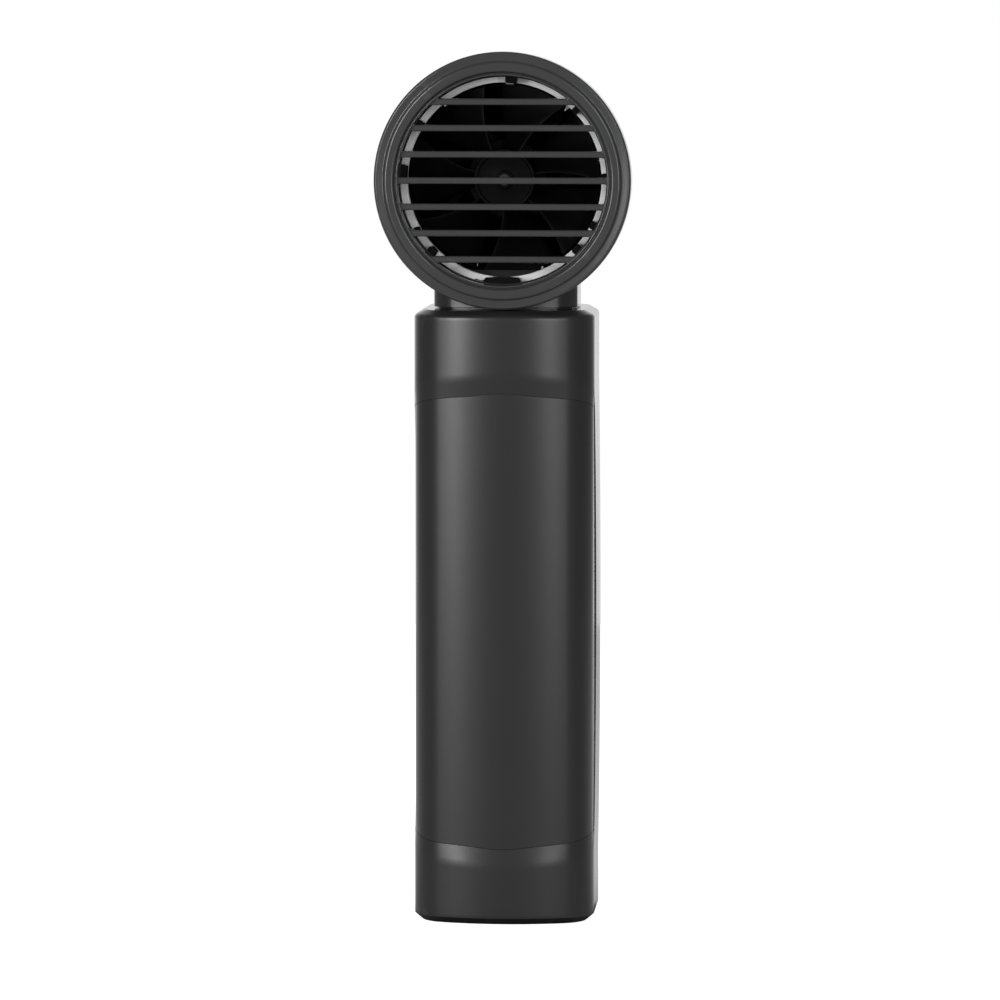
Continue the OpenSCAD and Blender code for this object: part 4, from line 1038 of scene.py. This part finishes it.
# Corners as (radius, distance behind the front)
BEZEL_FACE = [(32.86, 1.0), (32.4, 0.4), (30.55, 0.85), (30.06, 0.0), (27.86, 0.0)]
BEZEL_LIP = [(27.57, 1.1), (27.42, 1.1), (27.25, 0.75), (OPENING_R, 0.8)]
BEZEL_HOLE = [(OPENING_R, 4.2), (26.4, 5.2), (26.4, 6.5)]
BEZEL_SOCKET = [(28.55, 6.5), (28.55, 3.4), (30.85, 3.4), (30.85, 8.0), (32.86, 8.0)]
BEZEL_RADII = [0.15, 0.7, 0.45, 0.9, 0.7, 0.1, 0.1, 0.2, 0.25, 0.3, 0.3, 0.1, 0.05, 0.05, 0.05, 0.05, 0.3]
bezel_ring = turned(rounded(BEZEL_FACE + BEZEL_LIP + BEZEL_HOLE + BEZEL_SOCKET, BEZEL_RADII, 8), 288)
print("bezel ring's points:", len(bezel_ring[0]))

# %% [markdown]
# ## Slats and legs
#
# A slat is a bar whose upper and lower edges spread where they run into the ring, so the slots
# between the slats get filleted corners, as a mould maker cuts them. Each ring of points along it
# is a rounded rectangle. The legs are short posts from the bezel back to the intake ring.

# %% One slat, one leg
SLATS, SLAT_H, SLAT_PITCH, SLAT_AT, SLAT_D = 7, 1.67, 6.7, 1.6, 3.4


def slat(middle, fillet=1.1, across=72, around=7, corner=0.5):
    """Rings of a rounded rectangle: x = share (half chord at the point's own height + 0.3 mm)."""
    t = np.linspace(-1, 1, across)
    share = 0.6 * np.sin(t * np.pi / 2) + 0.4 * t

    def edge_at(sign):
        """The edge spreads by R - sqrt(R^2 - (R - d)^2) at a distance d from the ring."""
        wall = math.sqrt(OPENING_R**2 - (middle + sign * SLAT_H / 2) ** 2)
        away = np.clip(fillet - (1 - np.abs(share)) * wall, 0, fillet)
        return middle + sign * (SLAT_H / 2 + fillet - np.sqrt(fillet**2 - away**2))

    turn = np.linspace(0, np.pi / 2, around)
    turns = np.concatenate([turn + k * np.pi / 2 for k in range(4)])
    unit = np.stack([np.cos(turns), np.sin(turns)], axis=1)
    side = np.repeat([(1, 1), (0, 1), (0, 0), (1, 0)], around, axis=0)
    inward = np.where(side[:, 0] > 0, -corner, corner)
    back = SLAT_AT + side[:, 0] * SLAT_D + inward + unit[:, 0] * corner
    top, bottom = edge_at(1)[:, None] - corner, edge_at(-1)[:, None] + corner
    up = np.where(side[:, 1] > 0, top, bottom) + unit[:, 1] * corner
    x = share[:, None] * (np.sqrt(OPENING_R**2 - up**2) + 0.3)
    return lofted(np.stack(np.broadcast_arrays(x, back - BEZEL_BACK, HEAD_Z + up), axis=-1))


def leg(turn, width, start=5.4, end=10.0):
    """A short post between the bezel and the ring, rounded in the view along the axis."""
    outer, inner, half = 28.1, 24.85, width / 2
    corners = [(outer, -half), (outer, half), (inner, half), (inner, -half)]
    shape = rounded(corners, min(0.7, width * 0.3), 6)
    cos, sin = math.cos(math.radians(turn)), math.sin(math.radians(turn))
    x, up = shape[:, 0] * cos - shape[:, 1] * sin, shape[:, 0] * sin + shape[:, 1] * cos
    depths = (start, end - 0.15, end)
    return lofted(np.array([np.column_stack([x, 0 * x + back - BEZEL_BACK, HEAD_Z + up]) for back in depths]))


slats = [slat((k - SLATS // 2) * SLAT_PITCH) for k in range(SLATS)]
print("slats:", len(slats), "points in each:", len(slats[0][0]))

# %% [markdown]
# ## Painted shade on the legs
#
# The face of the bezel is polished. Behind the slats the legs lie in shade, and painted shade makes
# them nearly black and takes most of their gloss. They are one piece with the bezel, so its material
# has to know where it is: deeper than the slats, and nearer the axis than the socket for the barrel.

# %% Painted shade behind the slats
def painted_shade_behind_slats(finish, deep=(5.1, 5.35), wide=(28.3, 28.6)):
    """Painted shade: mask = (1 where the depth is past its limits) times (1 where the radius is under its
    limits); by the mask the colour goes to near black and the gloss down to a sixth."""
    tree = finish.node_tree
    shader = tree.nodes["Principled BSDF"]
    place = wired(tree, "ShaderNodeTexCoord").outputs["Object"]
    at = wired(tree, "ShaderNodeSeparateXYZ", {"Vector": place}).outputs
    up = sums(tree, "SUBTRACT", at["Z"], HEAD_Z * MM)
    squares = sums(tree, "ADD", sums(tree, "MULTIPLY", at["X"], at["X"]), sums(tree, "MULTIPLY", up, up))
    behind = zone(tree, at["Y"], *((back - BEZEL_BACK) * MM for back in deep))
    outside = zone(tree, squares, *((radius * MM) ** 2 for radius in wide))
    painted_shade = sums(tree, "MULTIPLY", behind, sums(tree, "SUBTRACT", 1.0, outside))
    faced = shader.inputs["Base Color"].links[0].from_socket
    tree.links.new(blended(tree, painted_shade, faced, (0.004, 0.004, 0.004)), shader.inputs["Base Color"])
    shine = sums(tree, "SUBTRACT", 0.5, sums(tree, "MULTIPLY", painted_shade, 0.42))
    tree.links.new(shine, shader.inputs["Specular IOR Level"])


# Each leg's angle in degrees and its width in mm
LEGS = [
    (1, 2.7), (44, 1.8), (85.5, 3.1), (146, 1.8), (176, 4.5),
    (210.5, 2.2), (225, 2.7), (269.5, 9.4), (317, 2.7), (333.5, 2.2),
]
# Painted shade: the legs behind the slats go near black, with little gloss.
painted_shade_behind_slats(bezel_plastic)
legs = [leg(*place) for place in LEGS]
piece("slatted_bezel", [bezel_ring, *slats, *legs], bezel_plastic, ["intake_grille"], crisp=45)

# %% [markdown]
# ## The bright ring
#
# Behind the slats a bright turned ring lines the intake. It could be a torus, but a turned profile
# gives it the flat face and the short sleeve of the real one.

# %% Inlet ring
ring_profile = [(24.9, 10), (28.2, 10), (28.2, 11.2), (25.5, 11.2), (25.5, 12.2), (24.9, 12.2)]
intake_ring = turned(rounded(ring_profile, [0.35, 0.15, 0.15, 0.2, 0.1, 0.2], 6), 288)
piece("intake_ring", [intake_ring], inlet_metal, ["inlet_ring"], crisp=50)

# %% [markdown]
# ## The fan
#
# The fan's hub has a thin raised rim and a small boss, and seven broad blades sweep back from it.
# A blade is a grid of radius by depth: its angle grows with the depth, which is the twist, and falls
# back towards the tip, which is the sweep. The blades nearly overlap at their tips, so hardly any
# light comes through the wheel.

# %% Impeller
BLADES = 7


def blade(number, root=7.3, tip=24.3, thick=1.1, rows=28, cols=14):
    """Two sheets, half a thickness either side of angle = start + (26 + 20 q) t - atan(5 q^2 / radius), with
    q = share of the span and t = share of the depth. The thickness falls to nothing at the leading and
    trailing edge as a half ellipse."""
    q = np.linspace(0, 1, rows)[:, None]
    t = (1 - np.cos(np.linspace(0, np.pi, cols)))[None] / 2
    radius = root + (tip - root) * q
    sweep = np.arctan2(5 * q**2, radius)
    middle = np.radians(11 + number * 360 / BLADES + (26 + 20 * q) * t) - sweep
    half_thick = thick / 2 * np.sqrt(np.clip(1 - (2 * t - 1) ** 4, 0.02, 1)) / radius
    back = 11.1 + 8 * t + 0 * q - BEZEL_BACK

    def sheet_at(angle):
        across, up = radius * np.cos(angle), radius * np.sin(angle)
        return np.stack(np.broadcast_arrays(across, back, HEAD_Z + up), axis=-1)

    return walled(sheet_at(middle - half_thick), sheet_at(middle + half_thick), grid_quads(rows, cols))


hub_face = [(1.5, 9.7), (2.2, 9.7), (2.25, 10.45), (6.9, 10.6), (7.1, 10.05), (7.72, 10.05), (7.86, 10.5)]
hub_profile = [*hub_face, (7.86, 19.8), (1.5, 19.8)]
hub = turned(rounded(hub_profile, [0.12, 0.2, 0.3, 0.3, 0.2, 0.2, 0.2, 0.4, 0.2], 5), 96)
blades = [blade(k) for k in range(BLADES)]
piece("fan_wheel", [hub, *blades], fan_plastic, ["impeller"], "rotor", crisp=50)

# %% [markdown]
# ## Trigger and button
#
# Both keys are built from rings that go out towards the fingers. A flange behind the cover keeps
# the key from falling out, straight sides slide in the opening, a few narrow rings round the rim,
# and the face is hollow: a cylinder's arc for the trigger, a ball's for the button.

# %% Trigger
TRIGGER_W, TRIGGER_H, TRIGGER_CORNER = 15, 30, 3.6
FLANGE = 2


def oblong(width, high, corner, count=10):
    """A rounded rectangle about (0, 0), as (across, up)."""
    x, y = width / 2, high / 2
    return rounded([(x, -y), (x, y), (-x, y), (-x, -y)], corner, count)


def pad_ring(loop, depth, middle_z):
    """A ring of points that faces the fingers, at the given y."""
    return np.column_stack([loop[:, 0], np.broadcast_to(depth, len(loop)), middle_z + loop[:, 1]])


def trigger_pad():
    """Rings from the flange out to the front, which is rounded at its rim and hollow as a cylinder:
    y = 55.8 - sqrt(30^2 - (z - 127)^2), and 29 at most."""
    flange = oblong(TRIGGER_W + 2 * FLANGE, TRIGGER_H + 2 * FLANGE, 3.0)
    side = oblong(TRIGGER_W, TRIGGER_H, TRIGGER_CORNER)
    rings = [pad_ring(flange, y, TRIGGER_Z) for y in (17.85, 19.2)]
    rings += [pad_ring(side, y, TRIGGER_Z) for y in (19.25, 22.0, 24.0)]

    def front(loop):
        z = TRIGGER_Z + loop[:, 1]
        return np.minimum(29, 55.8 - np.sqrt(np.clip(900 - (z - 127) ** 2, 1, None)))

    insets = (0.0, 0.08, 0.3, 0.65, 1.1, 2.5, 4.5, 6.4)
    falls = (1.1, 0.7, 0.32, 0.08, 0.0, 0.0, 0.0, 0.0)
    for inset, fall in zip(insets, falls):
        corner = max(0.6, TRIGGER_CORNER - inset)
        loop = oblong(TRIGGER_W - 2 * inset, TRIGGER_H - 2 * inset, corner)
        rings.append(pad_ring(loop, front(loop) - fall, TRIGGER_Z))
    for share in (0.8, 0.6, 0.4, 0.2, 0.04):
        rings.append(pad_ring(loop * share, front(loop * share), TRIGGER_Z))
    stem = [pad_ring(oblong(5, 5, 1), y, TRIGGER_Z) for y in (14.8, 18.5)]
    return [lofted(np.array(rings)), lofted(np.array(stem))]


piece("finger_trigger", trigger_pad(), key_plastic, ["trigger"], "trigger", crisp=40)

# %% Button
def button_pad(count=64):
    """Rings of a disc: straight sides, a rounded rim, and a face hollow as a ball of radius 18:
    y = 41.6 - sqrt(18^2 - r^2), and 24.2 at most."""
    angle = np.linspace(0, 2 * np.pi, count, endpoint=False)
    circle = np.stack([np.cos(angle), np.sin(angle)], axis=1)
    sides = ((6.7, 18.8), (6.7, 19.8), (5.5, 19.85), (5.5, 23.7))
    rings = [pad_ring(circle * r, y, BUTTON_Z) for r, y in sides]
    for r, fall in ((5.45, 0.22), (5.3, 0.07), (5.1, 0.0), (3.5, 0), (2.0, 0), (0.6, 0)):
        dish = min(24.2, 41.6 - math.sqrt(324 - r * r)) - fall
        rings.append(pad_ring(circle * r, dish, BUTTON_Z))
    stem = [pad_ring(circle * 1.6, y, BUTTON_Z) for y in (9.8, 19.2)]
    return [lofted(np.array(rings)), lofted(np.array(stem))]


piece("round_button", button_pad(), key_plastic, ["power_button"], "power_button", crisp=40)

# %% [markdown]
# ## Pieces that keep their solids
#
# What is deep inside or hardly shows stays as the solid it is, and only gets its finish.

# %% Finishes for the other nodes
copper = metallic("copper_wire", (0.72, 0.36, 0.18), (0.3, 0.45), fineness=6000.0)
nickel = metallic("nickel_sheet", (0.66, 0.64, 0.6), (0.25, 0.4), fineness=4000.0)
core_steel = metallic("stacked_steel", (0.3, 0.3, 0.31), (0.4, 0.55), fineness=5000.0)
magnet_grey = metallic("sintered_magnet", (0.2, 0.2, 0.21), (0.5, 0.62), fineness=7000.0)
blued_steel = metallic("blued_steel", (0.05, 0.05, 0.055), (0.35, 0.5), fineness=5200.0)
port_steel = metallic("pressed_steel", (0.6, 0.6, 0.6), (0.22, 0.34), fineness=5200.0)
board_green = moulded("board_lacquer", (0.01, 0.07, 0.03), (0.25, 0.4), fineness=1500.0, wear=0.1)
cell_wrap = moulded("cell_wrap", (0.05, 0.16, 0.35), (0.3, 0.42), fineness=900.0, wear=0.1)
holder_plastic = moulded("holder_plastic", (0.05, 0.05, 0.055), (0.45, 0.6), fineness=2400.0)
switch_plastic = moulded("switch_plastic", (0.04, 0.04, 0.045), (0.4, 0.5), fineness=3800.0)
light_plastic = moulded(
    "light_pipe_plastic", (0.6, 0.62, 0.62), (0.15, 0.25), fineness=800.0, dust=0.1, wear=0.1
)
finishes = {
    "fan_duct": fan_plastic,
    "fan_shaft": blued_steel,
    "rotor_magnet": magnet_grey,
    "motor_core": core_steel,
    "motor_windings": copper,
    "front_bearing": turned_steel,
    "rear_bearing": turned_steel,
    "tail_cone": fan_plastic,
    "duct_isolators": soft_rubber,
    "trigger_spring": port_steel,
    "speed_switch": switch_plastic,
    "button_switch": switch_plastic,
    "level_lights": light_plastic,
    "main_board": board_green,
    "battery_cells": cell_wrap,
    "battery_holder": holder_plastic,
    "cell_strips": nickel,
    "charge_port": port_steel,
    "charge_board": board_green,
    "cover_screws": port_steel,
    "base_screws": port_steel,
}
for node, finish in finishes.items():
    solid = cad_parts[node]
    solid.data.materials.clear()
    solid.data.materials.append(finish)
print("solids with new finishes:", len(finishes))

# %% [markdown]
# ## The floor
#
# The object stands on a pale floor in front of white. A real floor would throw a lot of light up on
# the black plastic, so this one looks pale to the camera, gives back little light, and glows a soft
# grey only to mirror rays that meet it away from the object's foot: a painted reflection, brighter
# behind the object, with painted shade round the foot. Its own colour keeps the object's shadow.

# %% Floor
def floor_disc(radius=0.7, steps=48):
    """A flat ring grid round the middle, closed by strips."""
    angle = np.linspace(0, 2 * np.pi, steps, endpoint=False)
    ring = np.column_stack([np.cos(angle), np.sin(angle), 0 * angle])
    points = np.concatenate([radius * ring, radius * 0.05 * ring])
    at = np.arange(2 * steps).reshape(2, steps)
    quads = np.stack([at[0], np.roll(at[0], -1), np.roll(at[1], -1), at[1]], axis=1)
    k = np.arange(steps // 2 - 1)
    cap = np.stack([at[1][k], at[1][k + 1], at[1][steps - 2 - k], at[1][steps - 1 - k]], axis=1)
    mesh = bpy.data.meshes.new("floor")
    mesh.from_pydata(points.tolist(), [], np.concatenate([quads, cap]).tolist())
    made = bpy.data.objects.new("floor", mesh)
    bpy.context.scene.collection.objects.link(made)
    return made


floor = floor_disc()
floor_paint = bpy.data.materials.new("floor_paint")
floor_paint.use_nodes = True
tree = floor_paint.node_tree
paint = tree.nodes["Principled BSDF"]
paint.inputs["Roughness"].default_value = 0.9
paint.inputs["Specular IOR Level"].default_value = 0.0
ray = wired(tree, "ShaderNodeLightPath").outputs
seen, mirror_ray = ray["Is Camera Ray"], ray["Is Glossy Ray"]
tree.links.new(blended(tree, seen, (0.1, 0.1, 0.1), (0.6, 0.6, 0.6)), paint.inputs["Base Color"])
on_floor = wired(tree, "ShaderNodeTexCoord").outputs["Object"]
far_off = wired(tree, "ShaderNodeVectorMath", {0: on_floor}, operation="LENGTH").outputs["Value"]
behind = wired(tree, "ShaderNodeSeparateXYZ", {0: on_floor}).outputs[1]
# Painted reflection: mirror rays see the floor glow grey, brighter behind the object, with painted shade
# round its foot.
brighter = sums(tree, "MULTIPLY", zone(tree, behind, 0.0, 0.08), 0.2)
pale = sums(tree, "MULTIPLY", zone(tree, far_off, 0.024, 0.034), sums(tree, "ADD", 0.42, brighter))
glow = sums(tree, "MAXIMUM", sums(tree, "MULTIPLY", seen, 0.9), sums(tree, "MULTIPLY", mirror_ray, pale))
tree.links.new(glow, paint.inputs["Emission Strength"])
paint.inputs["Emission Color"].default_value = (1, 1, 1, 1)
floor.data.materials.append(floor_paint)
print("floor's radius", round(max(floor.dimensions) / 2, 3), "m")

# %% [markdown]
# ## The world
#
# The camera sees plain white. Soft light comes evenly from all round. Mirror rays find a room: white
# straight behind the object, which draws the bright edges on its flanks, grey in front and darker
# high up. On the right the white begins a little later, so that edge is thinner.

# %% World
WHITE = (1.0, 1.0, 1.0)
world = bpy.data.worlds.new("studio")
bpy.context.scene.world = world
world.use_nodes = True
sky = world.node_tree
room = sky.nodes["Background"]
path = wired(sky, "ShaderNodeLightPath").outputs
looking = wired(sky, "ShaderNodeTexCoord").outputs["Generated"]
to_right, to_back, to_top = wired(sky, "ShaderNodeSeparateXYZ", {0: looking}).outputs
front = blended(sky, zone(sky, to_back, -0.9, -0.35), (0.42, 0.42, 0.42), (0.29, 0.29, 0.29))
walls = blended(sky, zone(sky, to_top, 0.1, 0.6), front, (0.2, 0.2, 0.2))
later = sums(sky, "MULTIPLY", zone(sky, to_right, 0.0, 0.3), -0.22)
mirrored = blended(sky, zone(sky, sums(sky, "ADD", to_back, later), 0.45, 0.92), walls, WHITE)
shiny = sums(sky, "MAXIMUM", path["Is Glossy Ray"], path["Is Transmission Ray"])
around = blended(sky, shiny, (0.5, 0.5, 0.5), mirrored)
sky.links.new(blended(sky, path["Is Camera Ray"], around, WHITE), room.inputs["Color"])
room.inputs["Strength"].default_value = 1.0
print("nodes in the world:", len(sky.nodes))

# %% [markdown]
# ## Lamps
#
# Two tall soft lamps, up on both sides of the viewer, draw one soft line of light down each half of
# the crowned palm face. A tall narrow lamp gives a narrow line, and its angle round the object says
# where on the crown the line falls.

# %% Soft lamps
def direction(turn, rise):
    """(sin turn cos rise, -cos turn cos rise, sin rise): a step of length 1 from the object outward."""
    return Vector((math.sin(turn) * math.cos(rise), -math.cos(turn) * math.cos(rise), math.sin(rise)))


def softbox(name, turn, rise, far, size, power):
    """A lamp at an angle round the object (0 is towards the palm, + is right) and above it.
    It is aimed at the middle of the handle."""
    lamp = bpy.data.lights.new(name, "AREA")
    lamp.shape, lamp.size, lamp.size_y, lamp.energy = "RECTANGLE", size[0], size[1], power
    made = bpy.data.objects.new(name, lamp)
    aim = Vector((0, 0, 0.12))
    made.location = aim + far * direction(math.radians(turn), math.radians(rise))
    made.rotation_euler = (aim - made.location).to_track_quat("-Z", "Y").to_euler()
    bpy.context.scene.collection.objects.link(made)
    return made


softbox("left_softbox", -31.4, 14, 1.3, (0.16, 0.8), 9.5)
softbox("right_softbox", 25, 13, 1.3, (0.09, 0.8), 4.2)
print("lamps:", [lamp.name for lamp in bpy.data.lights])

# %% [markdown]
# ## The camera
#
# A long lens from far away keeps the slats nearly parallel. The camera stands a little to the right
# and a little higher than what it looks at.

# %% Camera
turn, rise, far = math.radians(3.81), math.radians(5.0), 1.5807
aim = Vector((-0.0019 * math.cos(turn), -0.0019 * math.sin(turn), 0.10783))
lens = bpy.data.cameras.new("camera")
lens.lens, lens.sensor_width = 219.45, 36.0
lens.clip_start, lens.clip_end = 0.05, 50
camera = bpy.data.objects.new("camera", lens)
camera.location = aim + far * direction(turn, rise)
camera.rotation_euler = (aim - camera.location).to_track_quat("-Z", "Y").to_euler()
bpy.context.scene.collection.objects.link(camera)
bpy.context.scene.camera = camera
bpy.context.scene.view_settings.view_transform = "Standard"
print("camera at", [round(v, 3) for v in camera.location])
